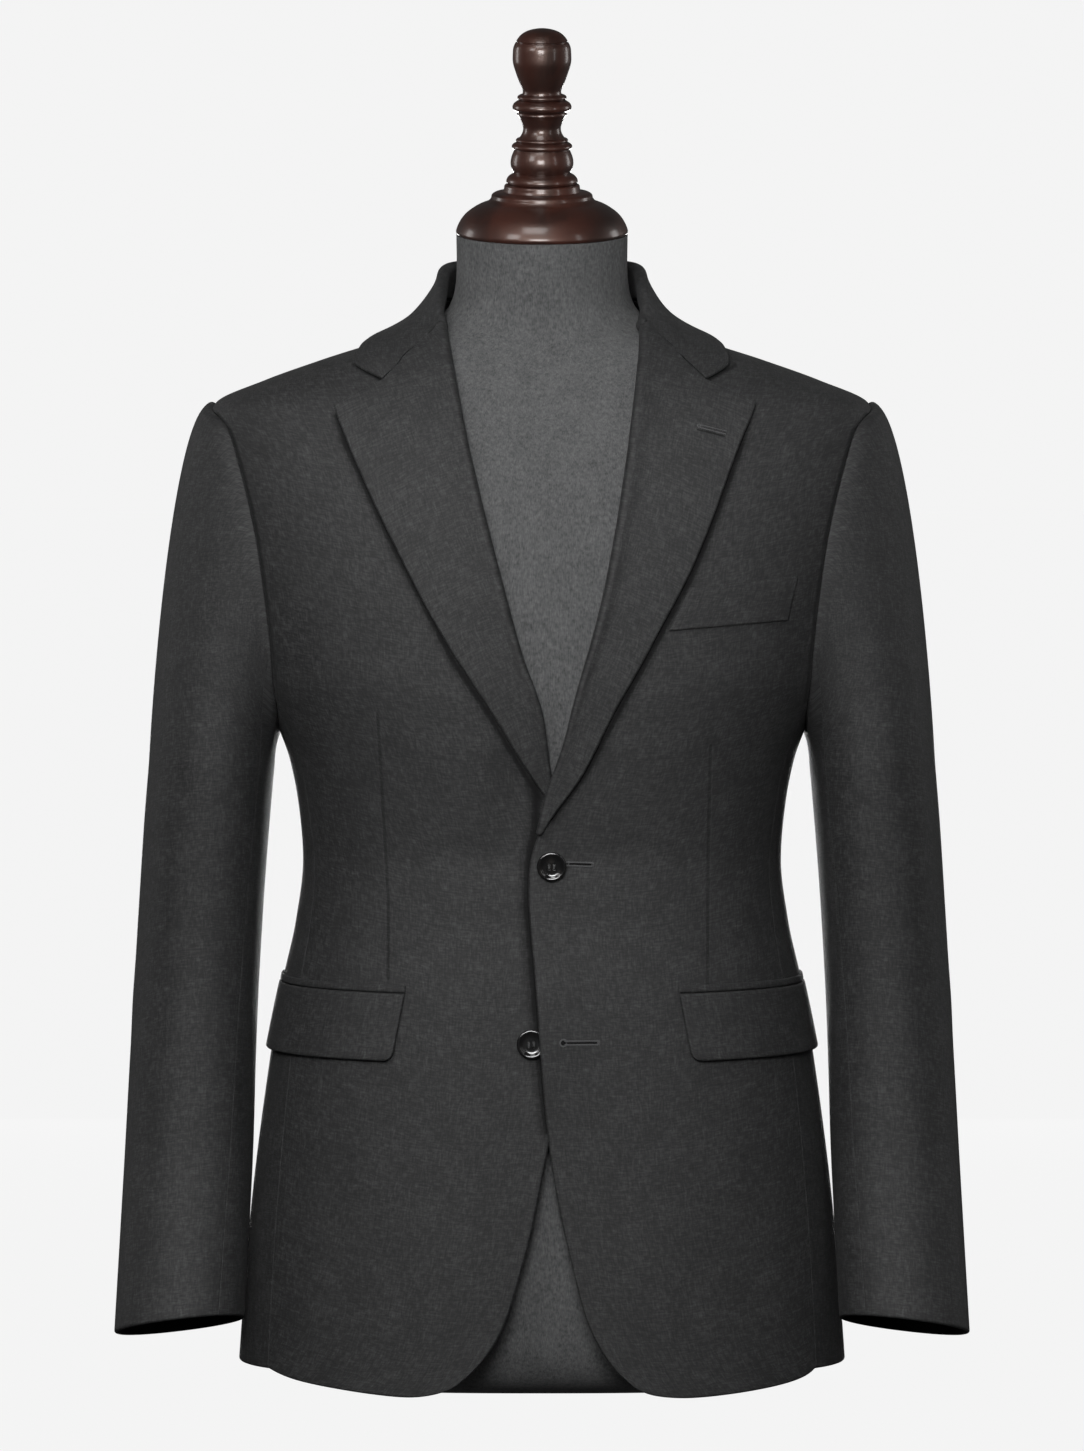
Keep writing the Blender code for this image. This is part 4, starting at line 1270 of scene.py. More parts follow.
@dataclass
class Workroom:
    """What every sub-assembly uses: the finishes, the lathe and the needle."""

    finishes: Finishes
    lathe: Lathe
    needle: Needle

    @staticmethod
    def hand_in(obj: bpy.types.Object, slot: Slot, *nodes: str) -> None:
        """Gives a finished piece to the frame.

        Args:
            obj: the piece.
            slot: its material slot; not used.
            nodes: the nodes that it stands for.
        """
        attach(obj, "root")
        if nodes:
            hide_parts(*nodes)
        LOG.info("%s: %d faces", obj.name, len(obj.data.polygons))

    def sew(
        self,
        piece: ClothPiece,
        nodes: tuple[str, ...],
        cut: Cut,
        outside: bpy.types.Material | None = None,
        inside: bpy.types.Material | None = None,
        hold: Hold = Hold.HUNG,
        rests_on: tuple[str, ...] = ("form_body",),
    ) -> None:
        """Makes a piece of cloth and gives it to the frame.

        Args:
            piece: the wall of cloth.
            nodes: the nodes that it stands for.
            cut: its flat cut; not used.
            outside: the finish of its face, or None for the plain wool.
            inside: the finish of its inner side, or None for the lining.
            hold: how it is held; not used.
            rests_on: what it lies on; not used.
        """
        obj = piece.build(outside or self.finishes.wool, inside or self.finishes.lining)
        self.hand_in(obj, Slot.WOOL, *nodes)
        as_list(rests_on)
        LOG.info("%s: area %.4f", piece.name, piece.area())


def wall(
    name: str, side: Side, patch: Grid, out: Grid | float, thickness: float, edges: tuple[Edge, ...]
) -> ClothPiece:
    """A wall of cloth over a patch of the body surface.

    Args:
        name: the piece's name.
        side: the side on which it is worn.
        patch: the angle and height of each of its points.
        out: how far its inner side stands off the surface.
        thickness: the cloth's.
        edges: how its first and last columns and its first and last rows end.

    Returns:
        The piece.
    """
    angle, height = patch[..., 0], patch[..., 1]
    points, ways = SURFACE.off(angle, height, out), SURFACE.normal(angle, height)
    return ClothPiece(name, points, ways, thickness, edges, side.value)


class Layering:
    """How far each front lies off the body surface where one laps over the other."""

    over_button, edge_lift = 0.0046, 0.0015
    button_height, crossing_height = 0.253, 0.418

    @classmethod
    def left(cls, out: Grid, height: Grid) -> Grid:
        """The left front rides over the lower button, and its edge stands off a little above it."""
        aside, above = (out + 0.004) / 0.030, (height - cls.button_height) / 0.045
        upright = step_down(height, 0.400, 0.440) * (1 - step_down(height, 0.230, 0.290))
        lifted = cls.edge_lift * np.exp(-(((out + 0.006) / 0.016) ** 2)) * upright
        return cls.over_button * np.exp(-(aside**2) - above**2) + lifted

    @classmethod
    def right(cls, out: Grid, height: Grid) -> Grid:
        """The right front lies inside, and deepest where the rolls cross."""
        crossing = CROSSING_DROP * np.exp(-(((height - cls.crossing_height) / 0.036) ** 2))
        return -(UNDERLAP_DROP + crossing) * step_down(out, 0.014, 0.050)

    @classmethod
    def of(cls, side: Side, angle: Grid, height: Grid) -> Grid:
        """The offset of one front at these places."""
        out = SURFACE.on(angle, height)[..., 0]
        return cls.left(out, height) if side is Side.LEFT else cls.right(out, height)


def roll_bulge(height: Grid) -> Grid:
    """How far the roll stands beyond the front's cut edge at a height."""
    return from_table(height, ROLL_BULGE)


def front_line(edge: Table) -> tuple[Grid, Grid]:
    """The front edge as finely spaced angles and heights, up to the neck point."""
    line = SURFACE.flat(edge)
    line[-1] = SHOULDER_ANGLE, NECK_POINT
    dense = smooth_line(line)(even(600))
    return dense[:, 0], dense[:, 1]


def relief_of(folds: tuple[SoftFold, ...], points: Grid, place: Callable[[float, float], Grid]) -> Grid:
    """The lift of all the folds at these points of the cloth."""
    return sum(fold.relief(points, place) for fold in folds)


def body_relief(folds: tuple[SoftFold, ...], patch: Grid) -> Grid:
    """The lift of all the folds over a patch of the body surface."""
    return relief_of(folds, SURFACE.on(patch[..., 0], patch[..., 1]), body_place)


def seam_shares(length: float, step: float, first: bool = True, last: bool = True) -> Grid:
    """Shares of a line's length that stop half a seam's gap short of the ends that are sewn."""
    return drawn_in(edge_shares(length, step), length, SEAM_GAP / 2 * first, SEAM_GAP / 2 * last)


@dataclass
class FrontPanel:
    """One front, from the side seam to its edge."""

    side: Side
    edge: Table
    hem: Table
    folds: tuple[SoftFold, ...]
    cut: Cut = Cut(0.225, 0.750, 0.1340)
    size: tuple[float, float] = (0.185, 0.72)
    step: tuple[float, float] = (0.0026, 0.0050)
    seam_share: float = 0.66
    tuck: float = 0.0006
    roll_start: tuple[float, float] = (0.396, 0.412)
    roll_end: float = 0.745
    hem_spread: float = 1.25

    def patch(self) -> Grid:
        """The angle and height of each point of the panel."""
        seam = smooth_line(angle_line(FRONT_SIDE_SEAM))
        arm = smooth_line(angle_line(ARMHOLE_FRONT)[::-1])
        outer = joined(seam, arm, self.seam_share)
        angles, heights = front_line(self.edge)
        low, high = heights[0], heights[-1]
        corner = outer(ENDS)
        outer_low, outer_high = corner[:, 1]

        def inner(shares: Grid) -> Grid:
            """The front edge at the heights that go with the outer border's."""
            rise = (outer(shares)[:, 1] - outer_low) / (outer_high - outer_low)
            height = low + (high - low) * rise
            angle = np.interp(height, heights, angles)
            hidden = (roll_bulge(height) + self.tuck) * (1 - step_down(height, *self.roll_start))
            hidden *= step_down(height, self.roll_end, NECK_POINT)
            return np.stack([SURFACE.turned_by(angle, height, hidden), height], axis=-1)

        hem = smooth_line(np.concatenate([SURFACE.flat(self.hem), corner[:1]]))
        top = straight(inner(ENDS)[1], corner[1])
        across, up = (seam_shares(*sizes, first=False) for sizes in zip(self.size, self.step))
        return net(lambda shares: hem(shares**self.hem_spread), top, inner, outer, across, up)

    def build(self, room: Workroom) -> None:
        """Makes the panel."""
        patch = self.patch()
        out = Layering.of(self.side, patch[..., 0], patch[..., 1]) + body_relief(self.folds, patch)
        word, edges = self.side.word, (FOLD, FLUSH, FOLD, SEAM)
        piece = wall("front_panel_" + word, self.side, patch, out, CLOTH, edges)
        finishes = room.finishes
        wool = finishes.left_front if self.side is Side.LEFT else finishes.right_front
        room.sew(piece, ("front_" + word,), self.cut, wool)


@dataclass
class SidePanel:
    """The narrow panel under the arm."""

    side: Side
    folds: tuple[SoftFold, ...]
    cut: Cut = Cut(0.175, 0.480, 0.0660)
    size: tuple[float, float] = (0.15, 0.45)
    step: tuple[float, float] = (0.0045, 0.0050)

    def build(self, room: Workroom) -> None:
        """Makes the panel."""
        inner = smooth_line(angle_line(FRONT_SIDE_SEAM))
        outer = smooth_line(angle_line(SIDE_BACK_SEAM))
        top = smooth_line(angle_line(ARMHOLE_UNDER))
        foot = straight(inner(ENDS)[0], outer(ENDS)[0])
        across = seam_shares(self.size[0], self.step[0])
        up = seam_shares(self.size[1], self.step[1], first=False)
        patch = net(foot, top, inner, outer, across, up)
        word, lift, edges = self.side.word, body_relief(self.folds, patch), (FLUSH, FLUSH, FOLD, SEAM)
        piece = wall("side_panel_" + word, self.side, patch, lift, CLOTH, edges)
        room.sew(piece, ("side_" + word,), self.cut)


@dataclass
class BackPanel:
    """One half of the back, from the side seam to the centre seam."""

    side: Side
    folds: tuple[SoftFold, ...]
    cut: Cut = Cut(0.215, 0.755, 0.1320)
    width: float = 0.22
    length: float = 0.73
    shoulder_length: float = 0.165
    neck_length: float = 0.09
    step: tuple[float, float] = (0.0045, 0.0050)
    seam_share: float = 0.70
    shoulder_share: float = 8 / 13

    def build(self, room: Workroom) -> None:
        """Makes the panel."""
        seam = smooth_line(angle_line(SIDE_BACK_SEAM))
        arm = smooth_line(angle_line(ARMHOLE_BACK))
        inner = joined(seam, arm, self.seam_share)
        low, high = inner(ENDS)[:, 1]

        def outer(shares: Grid) -> Grid:
            """The centre seam at the heights that go with the first border's."""
            rise = (inner(shares)[:, 1] - low) / (high - low)
            height = BACK_HEM + (NECK_POINT - BACK_HEM) * rise
            return np.stack([np.full(len(height), math.pi / 2), height], axis=-1)

        neck_point = np.array([SHOULDER_ANGLE, NECK_POINT])
        shoulder = straight(inner(ENDS)[1], neck_point)
        neck = straight(neck_point, outer(ENDS)[1])
        meeting = self.shoulder_share
        foot, top = straight(inner(ENDS)[0], outer(ENDS)[0]), joined(shoulder, neck, meeting)
        first = edge_shares(self.shoulder_length, self.step[0]) * meeting
        last = meeting + edge_shares(self.neck_length, self.step[0])[1:] * (1 - meeting)
        across = drawn_in(np.concatenate([first, last]), self.width, SEAM_GAP / 2, SEAM_GAP / 2)
        patch = net(foot, top, inner, outer, across, seam_shares(self.length, self.step[1], first=False))
        word, lift, edges = self.side.word, body_relief(self.folds, patch), (FLUSH, FLUSH, FOLD, SEAM)
        piece = wall("back_panel_" + word, self.side, patch, lift, CLOTH, edges)
        room.sew(piece, ("back_" + word,), self.cut)


def gorge_line(gorge: Table) -> Line:
    """The gorge seam from the roll, drawn back under its bulge, to the notch."""
    line = SURFACE.flat(gorge)
    line[0, 0] = SURFACE.turned_by(line[0, 0], line[0, 1], roll_bulge(line[0, 1]))
    return smooth_line(line)


@dataclass
class Lapel:
    """The turned-back front: it rolls round the front's edge and lies on the chest."""

    side: Side
    edge: Table
    gorge: Table
    outline: Table
    cut: Cut = Cut(0.105, 0.375, 0.0215)
    lying: float = 0.0017
    roll_lift: float = 0.0018
    lift_reach: float = 0.16
    lift_from: tuple[float, float] = (0.44, 0.52)
    meeting: float = 4 / 7
    gorge_columns: int = 24
    notch_length: float = 0.034
    length: float = 0.37
    step: tuple[float, float] = (0.0024, 0.0030)
    low_end: tuple[float, float] = (0.432, 0.478)
    tuck_depths: tuple[float, float] = (-0.0008, 0.0014)
    tuck_lengths: tuple[float, float] = (0.007, 0.0035)
    roll_steps: int = 14

    def patch(self) -> tuple[Grid, Grid]:
        """The angle and height of each point of the flat part, and its columns' shares."""
        start, stop = self.outline[-1][1] * MM, self.gorge[0][1] * MM
        angles, heights = front_line(self.edge)
        gorge = gorge_line(self.gorge)

        def inner(shares: Grid) -> Grid:
            """The roll's own edge, drawn back by the roll's bulge."""
            height = start + (stop - start) * np.asarray(shares, float)
            angle = np.interp(height, heights, angles)
            return np.stack([SURFACE.turned_by(angle, height, roll_bulge(height)), height], axis=-1)

        outer = smooth_line(SURFACE.flat(self.outline)[::-1])
        notch = straight(gorge(ENDS)[1], outer(ENDS)[1])
        foot, top = straight(inner(ENDS)[0], outer(ENDS)[0]), joined(gorge, notch, self.meeting)
        along_gorge = np.linspace(0, 1, self.gorge_columns) * self.meeting
        free = self.meeting + edge_shares(self.notch_length, self.step[0])[3:] * (1 - self.meeting)
        across, up = np.concatenate([along_gorge, free]), seam_shares(self.length, self.step[1], first=False)
        return net(foot, top, inner, outer, across, up), across

    def roll(self, angle: Grid, height: Grid, offset: Grid) -> tuple[Grid, Grid]:
        """The rolled part: from its tucked edge round the bulge to the flat part's first column.

        Args:
            angle: the flat part's angles.
            height: its heights.
            offset: how far it stands off the body surface.

        Returns:
            The points and the way out at each.
        """
        line, normal = SURFACE.on(angle[:, 0], height[:, 0]), SURFACE.normal(angle[:, 0], height[:, 0])
        beyond = unit(np.cross(np.gradient(line, axis=0), normal))
        inward = SURFACE.on(angle[:, 2], height[:, 2]) - line
        beyond *= -np.sign((beyond * inward).sum(axis=-1, keepdims=True))
        low_end = step_down(height[:, 0], *self.low_end)[:, None]
        layer = Layering.of(self.side, angle[:, 0], height[:, 0])[:, None]
        crown = (offset[:, 0])[:, None] - layer
        tucked = self.tuck_depths[0] * (1 - low_end) + self.tuck_depths[1] * low_end
        middle, half = (crown + tucked) / 2 + layer, (crown - tucked) / 2
        bulge = np.maximum(roll_bulge(height[:, 0])[:, None] - LAPEL_CLOTH, 0.0002)
        rolled, facing = [], []
        for back in self.tuck_lengths:
            rolled.append(line + normal * (tucked + layer) - beyond * back * (1 - 0.98 * low_end))
            facing.append(-normal)
        for turn in np.linspace(math.pi, 0, self.roll_steps, endpoint=False):
            rolled.append(line + normal * (middle + half * math.cos(turn)) + beyond * bulge * math.sin(turn))
            outwards = normal * math.cos(turn) / half + beyond * math.sin(turn) / np.maximum(bulge, 0.0006)
            facing.append(unit(outwards) * np.where(math.cos(turn) < 0, 1 - 0.8 * low_end, 1.0))
        return np.stack(rolled, axis=1), np.stack(facing, axis=1)

    def build(self, room: Workroom) -> None:
        """Makes the lapel."""
        patch, across = self.patch()
        angle, height = patch[..., 0], patch[..., 1]
        lift = self.roll_lift * np.exp(-((across[None, :] / self.lift_reach) ** 2))
        lift = lift * (1 - step_down(height, *self.lift_from))
        offset = Layering.of(self.side, angle, height) + (CLOTH + LAYER_GAP + self.lying) + lift
        rolled, facing = self.roll(angle, height, offset)
        under = np.concatenate([rolled, SURFACE.off(angle, height, offset)], axis=1)
        ways = np.concatenate([facing, SURFACE.normal(angle, height)], axis=1)
        along_top = np.concatenate([np.zeros(rolled.shape[1]), across])
        edges = (SEAM, FOLD, FOLD, edge_by_place(along_top < self.meeting - 0.004))
        word = self.side.word
        piece = ClothPiece("lapel_fall_" + word, under, ways, LAPEL_CLOTH, edges, self.side.value)
        wool = room.finishes.left_lapel if self.side is Side.LEFT else room.finishes.wool
        nodes, rests_on = ("lapel_" + word,), ("front_panel_" + word,)
        room.sew(piece, nodes, self.cut, wool, room.finishes.wool, Hold.FOLDED, rests_on)


@dataclass
class Collar:
    """The collar in one roll: the stand inside, the crease, and the fall on the shoulders."""

    cut: Cut = Cut(0.430, 0.110, 0.0310)
    lying: float = 0.0020
    fold_height: float = 0.0018
    meeting: float = 4 / 6
    length: float = 0.20
    step: float = 0.0026
    settles: tuple[float, float] = (0.02, 0.26)
    stand_lean: float = 0.10
    joining: float = 0.08
    free_length: float = 0.030
    free_step: float = 0.0022
    gorge_rows: int = 30
    stand_rows: int = 7
    arch_rows: int = 12
    crease_drop: float = 0.0025
    front_rise: float = 0.0004
    front_lift: float = 0.0012
    seat_rise: float = 0.0026
    seat_in: float = 0.0006
    front_tuck: float = 0.0010
    fold_depth: float = 0.0030

    def half(self, gorge_table: Table, stations: Grid) -> tuple[Grid, Grid]:
        """One half from the gorge to the centre back.

        Args:
            gorge_table: the gorge seam of that side.
            stations: shares of the neck seam, from the front.

        Returns:
            The inner side's points, rows from the stand's foot over the crease to the outer edge,
            and whether each row is sewn to the lapel.
        """
        seam_line = smooth_line(angle_line(COLLAR_SEAM))
        gorge = gorge_line(gorge_table)
        front_corner = angle_line(COLLAR_OUTER)[0]
        meeting = self.meeting
        front = joined(gorge, straight(gorge(ENDS)[1], front_corner), meeting)
        outer = smooth_line(angle_line(COLLAR_OUTER))

        def seam(shares: Grid) -> Grid:
            """The neck seam, drawn back under the roll's bulge at its front."""
            line = seam_line(shares)
            line[:, 0] = SURFACE.turned_by(line[:, 0], line[:, 1], roll_bulge(line[:, 1]))
            start = gorge(ENDS)[0]
            near = np.clip(1 - np.asarray(shares, float) / self.joining, 0, 1)[:, None]
            return line + (start - line) * near**2

        back = straight(seam(ENDS)[1], outer(ENDS)[1])
        free = meeting + edge_shares(self.free_length, self.free_step)[3:] * (1 - meeting)
        falling = np.concatenate([np.linspace(0, 1, self.gorge_rows) * meeting, free])
        patch = net(seam, outer, front, back, stations, falling)
        angle, height = patch[..., 0], patch[..., 1]
        settled = 1 - step_down(stations, *self.settles)
        crease = SURFACE.on(angle[0], height[0])
        normal = SURFACE.normal(angle[0], height[0])
        beyond = unit(np.cross(np.gradient(crease, axis=0), normal))
        inward = SURFACE.on(angle[4], height[4]) - crease
        beyond *= -np.sign((beyond * inward).sum(axis=-1, keepdims=True))
        cosine, sine = np.cos(angle[0]), np.sin(angle[0])
        lean = -self.stand_lean
        upright = np.stack([lean * cosine, lean * sine, np.ones(len(cosine))], axis=-1)
        rising = unit(beyond * (1 - settled)[:, None] + upright * settled[:, None])
        rise = from_table(np.degrees(angle[0]), STAND_RISE, scale=1.0) - self.crease_drop
        rise = rise * settled + self.front_rise * (1 - settled)
        lifted = self.front_lift * (1 - settled)[None, :] * (1 - falling[:, None]) ** 4
        lying = CLOTH + LAYER_GAP + self.lying + lifted
        stood = (rise * (1 - falling[:, None]) ** 1.5)[..., None] * rising[None]
        fall = SURFACE.off(angle, height, lying) + stood
        inwards = np.stack([-cosine, -sine, np.zeros(len(cosine))], axis=-1)
        seated = crease + np.array([0, 0, self.seat_rise]) + inwards * self.seat_in
        tucked = crease - normal * self.front_tuck
        foot = tucked * (1 - settled)[:, None] + seated * settled[:, None]
        stand_top = rise - self.fold_depth * settled
        stand = [foot + rising * (stand_top * share)[:, None] for share in even(self.stand_rows)]
        last = stand[-1]
        middle, reach = (last + fall[0]) / 2, (fall[0] - last) / 2
        arch = []
        for turn in np.linspace(0, math.pi, self.arch_rows)[1:-1]:
            arch.append(middle - reach * math.cos(turn) + rising * self.fold_height * math.sin(turn))
        shares = np.concatenate([np.zeros(len(stand) + len(arch)), falling])
        return np.concatenate([np.stack(stand), np.stack(arch), fall]), shares < meeting - 0.004

    def build(self, room: Workroom) -> None:
        """Makes the collar."""
        stations = seam_shares(self.length, self.step, last=False)[:-4]
        stations[-1] = 1.0
        left, sewn = self.half(LEFT_GORGE, stations)
        right, _ = self.half(RIGHT_GORGE, stations)
        right = right * np.array([-1, 1, 1])
        whole = np.concatenate([left, right[:, -2::-1]], axis=1)
        whole[:, len(stations) - 1, 0] = 0.0
        under = whole[::-1]
        front_edge = edge_by_place(sewn[::-1, None])
        edges = (front_edge, front_edge, FOLD, SEAM)
        piece = ClothPiece("collar_roll", under, facing_of(under), COLLAR_CLOTH, edges)
        wool = room.finishes.wool
        rests_on = ("back_panel_left", "back_panel_right", "front_panel_left", "front_panel_right")
        room.sew(piece, ("collar", "collar_stand"), self.cut, wool, wool, Hold.FOLDED, rests_on)


@dataclass
class Sleeve:
    """A two-piece sleeve with a full head, hanging a little forward."""

    side: Side
    folds: tuple[SoftFold, ...]
    top_cut: Cut = Cut(0.225, 0.690, 0.1180)
    under_cut: Cut = Cut(0.150, 0.500, 0.0580)
    cuff_front_rise: float = 0.19
    cuff_inner_rise: float = 0.117
    cuff_rise: float = 0.0025
    ring_power: float = 2.15
    fineness: int = 7
    cap_rows: int = 34
    rope: float = 0.80
    arm_step: float = 0.0045
    arm_low: float = 0.462
    arm_high: float = 0.686
    cuff_slope_from: float = 0.16
    low_from: tuple[float, float] = (0.470, 0.540)
    clearance: float = 0.0005
    first_reach: float = 0.12
    last_reach: float = 0.30
    crown_in: float = 0.0066

    def ring(self, height: float, turn: Grid) -> Grid:
        """The sleeve's section at a height, in the pattern's heights."""
        table = SLEEVE[::-1]
        middle, half, back, depth = (float(from_table(height, table, i)) for i in range(1, 5))
        power = self.ring_power
        wide = (np.abs(np.cos(turn)) / half) ** power
        deep = (np.abs(np.sin(turn)) / depth) ** power
        radius = (wide + deep) ** (-1 / power)
        across, along = middle + radius * np.cos(turn), back + radius * np.sin(turn)
        return np.stack([across, along, np.full(len(turn), height)], axis=-1)

    def loop(self) -> tuple[Grid, int, int]:
        """The armhole as angles and heights, and the columns of the fore-arm and hind-arm seams."""
        fine = self.fineness
        front = smooth_line(angle_line(ARMHOLE_FRONT))(even(8 * fine))
        under = smooth_line(angle_line(ARMHOLE_UNDER))(even(5 * fine))
        back = smooth_line(angle_line(ARMHOLE_BACK))(even(7 * fine))
        return np.concatenate([front, under[1:], back[1:]]), 7 * fine, 15 * fine

    def head(self, seam: Grid, normal: Grid, ring: Grid) -> list[Grid]:
        """The rows from the armhole seam over the head to the arm's first ring."""
        along = np.gradient(seam, axis=0)
        along[0] = along[-1] = seam[1] - seam[-2]
        away = unit(np.cross(along, normal))
        away *= np.sign((away * (seam.mean(axis=0) - seam)).sum(axis=-1, keepdims=True))
        lowness = step_down(seam[:, 2], *self.low_from)
        start = seam + normal * (CLOTH + (LAYER_GAP + self.clearance) * lowness)[:, None] + away * SEAM_GAP
        start[:, 0] += self.clearance
        gap = np.linalg.norm(ring - start, axis=-1, keepdims=True)
        level = (seam[:, 2] - self.arm_low) / (self.arm_high - self.arm_low)
        level = np.clip(level, 0, 1)[:, None]
        out = np.array([1.0, 0, 0]) * (0.10 + 0.90 * level**0.5) + np.array([0, 0, -1.0]) * (1 - level**0.6)
        out[:, 2] += self.rope * level[:, 0] ** 8
        first = start + unit(out) * gap * (self.first_reach - 0.028 * level**3)
        last = ring + np.array([0, 0, 1.0]) * gap * (self.last_reach + 0.19 * level)
        last[:, 0] -= self.crown_in * level[:, 0]
        rows = [start - normal * depth for depth in (0.9 * CLOTH, 0.15 * CLOTH)]
        for t in np.linspace(0, 1, self.cap_rows, endpoint=False) ** 1.15:
            near = (1 - t) ** 3 * start + 3 * t * (1 - t) ** 2 * first
            rows.append(near + 3 * t * t * (1 - t) * last + t**3 * ring)
        return rows

    def grid(self) -> tuple[Grid, int, int]:
        """The outside of the sleeve, rows from the cuff up, and its two seams' columns."""
        loop, fore, hind = self.loop()
        seam = SURFACE.on(loop[:, 0], loop[:, 1])
        seam[:, 2] += FOOT_RISE
        normal = SURFACE.normal(loop[:, 0], loop[:, 1])
        reach = np.concatenate([[0], np.cumsum(np.linalg.norm(np.diff(seam, axis=0), axis=1))])
        reach /= reach[-1]
        lowest = reach[int(np.argmin(seam[:, 2]))]
        turn = -math.pi * (np.clip(reach / lowest, 0, 1) + np.clip((reach - lowest) / (1 - lowest), 0, 1))
        join, cuff = SLEEVE[0][0] * MM, SLEEVE[-1][0] * MM
        rows = self.head(seam, normal, self.ring(join, turn))
        for height in join + (cuff - join) * even(round((join - cuff) / self.arm_step)):
            row = self.ring(height, turn)
            share = np.clip((self.cuff_slope_from - height) / (self.cuff_slope_from - cuff), 0, 1)
            middle = row.mean(axis=0)
            slope = self.cuff_front_rise * (middle[1] - row[:, 1])
            slope += self.cuff_inner_rise * (middle[0] - row[:, 0])
            row[:, 2] += share * (slope + self.cuff_rise)
            rows.append(row)
        grid = np.stack(rows[::-1])
        grid[..., 2] -= FOOT_RISE
        return grid, fore, hind

    def place(self, turn: float, height: float) -> Grid:
        """The point of the sleeve at a turn in degrees, 0 outside and -90 in front, and a height in mm."""
        point = self.ring(height * MM, np.array([math.radians(turn)]))[0]
        return point - np.array([0, 0, FOOT_RISE])

    def build(self, room: Workroom) -> None:
        """Makes the top sleeve and the under sleeve."""
        grid, fore, hind = self.grid()
        lift = relief_of(self.folds, grid, self.place)
        around = np.roll(grid[:, :-1], -1, axis=1) - np.roll(grid[:, :-1], 1, axis=1)
        normal = unit(np.cross(np.gradient(grid[:, :-1], axis=0), around))
        normal = np.concatenate([normal, normal[:, :1]], axis=1)
        under_side = grid + normal * (lift - SLEEVE_CLOTH)[..., None]
        upper = np.concatenate([under_side[:, hind:], under_side[:, 1 : fore + 1]], axis=1)
        upper_ways = np.concatenate([normal[:, hind:], normal[:, 1 : fore + 1]], axis=1)
        lower, lower_ways = under_side[:, fore : hind + 1], normal[:, fore : hind + 1]
        pieces = (
            ("top_sleeve", upper, upper_ways, self.top_cut),
            ("under_sleeve", lower, lower_ways, self.under_cut),
        )
        edges = (FLUSH, FLUSH, FOLD, SEAM)
        for title, points, ways, cut in pieces:
            points, ways = self.with_edges(points[:, ::-1], ways[:, ::-1])
            name = f"{title}_cloth_{self.side.word}"
            piece = ClothPiece(name, points, ways, SLEEVE_CLOTH, edges, self.side.value)
            room.sew(piece, (f"{title}_{self.side.word}",), cut)

    @staticmethod
    def with_edges(points: Grid, ways: Grid) -> tuple[Grid, Grid]:
        """The grid drawn in at its long seams, with close rows and columns for rounded edges."""
        across, up = np.arange(points.shape[1], dtype=float), np.arange(points.shape[0], dtype=float)
        near_side = np.array((0.003, 0.10, 0.22, 0.38, 0.60))
        near_end = np.array((0.0, 0.05, 0.12, 0.22, 0.38, 0.60))
        columns = np.concatenate([near_side, across[1:-1], across[-1] - near_side[::-1]])
        rows = np.concatenate([near_end, up[1:-1], up[-1] - near_end[::-1]])
        return Sleeve.resampled(points, rows, columns), unit(Sleeve.resampled(ways, rows, columns))

    @staticmethod
    def resampled(grid: Grid, rows: Grid, columns: Grid) -> Grid:
        """The grid read at fractional rows and columns."""
        i = np.clip(rows.astype(int), 0, grid.shape[0] - 2)
        j = np.clip(columns.astype(int), 0, grid.shape[1] - 2)
        a, b = (rows - i)[:, None, None], (columns - j)[None, :, None]
        first = grid[i][:, j] * (1 - b) + grid[i][:, j + 1] * b
        second = grid[i + 1][:, j] * (1 - b) + grid[i + 1][:, j + 1] * b
        return first * (1 - a) + second * a


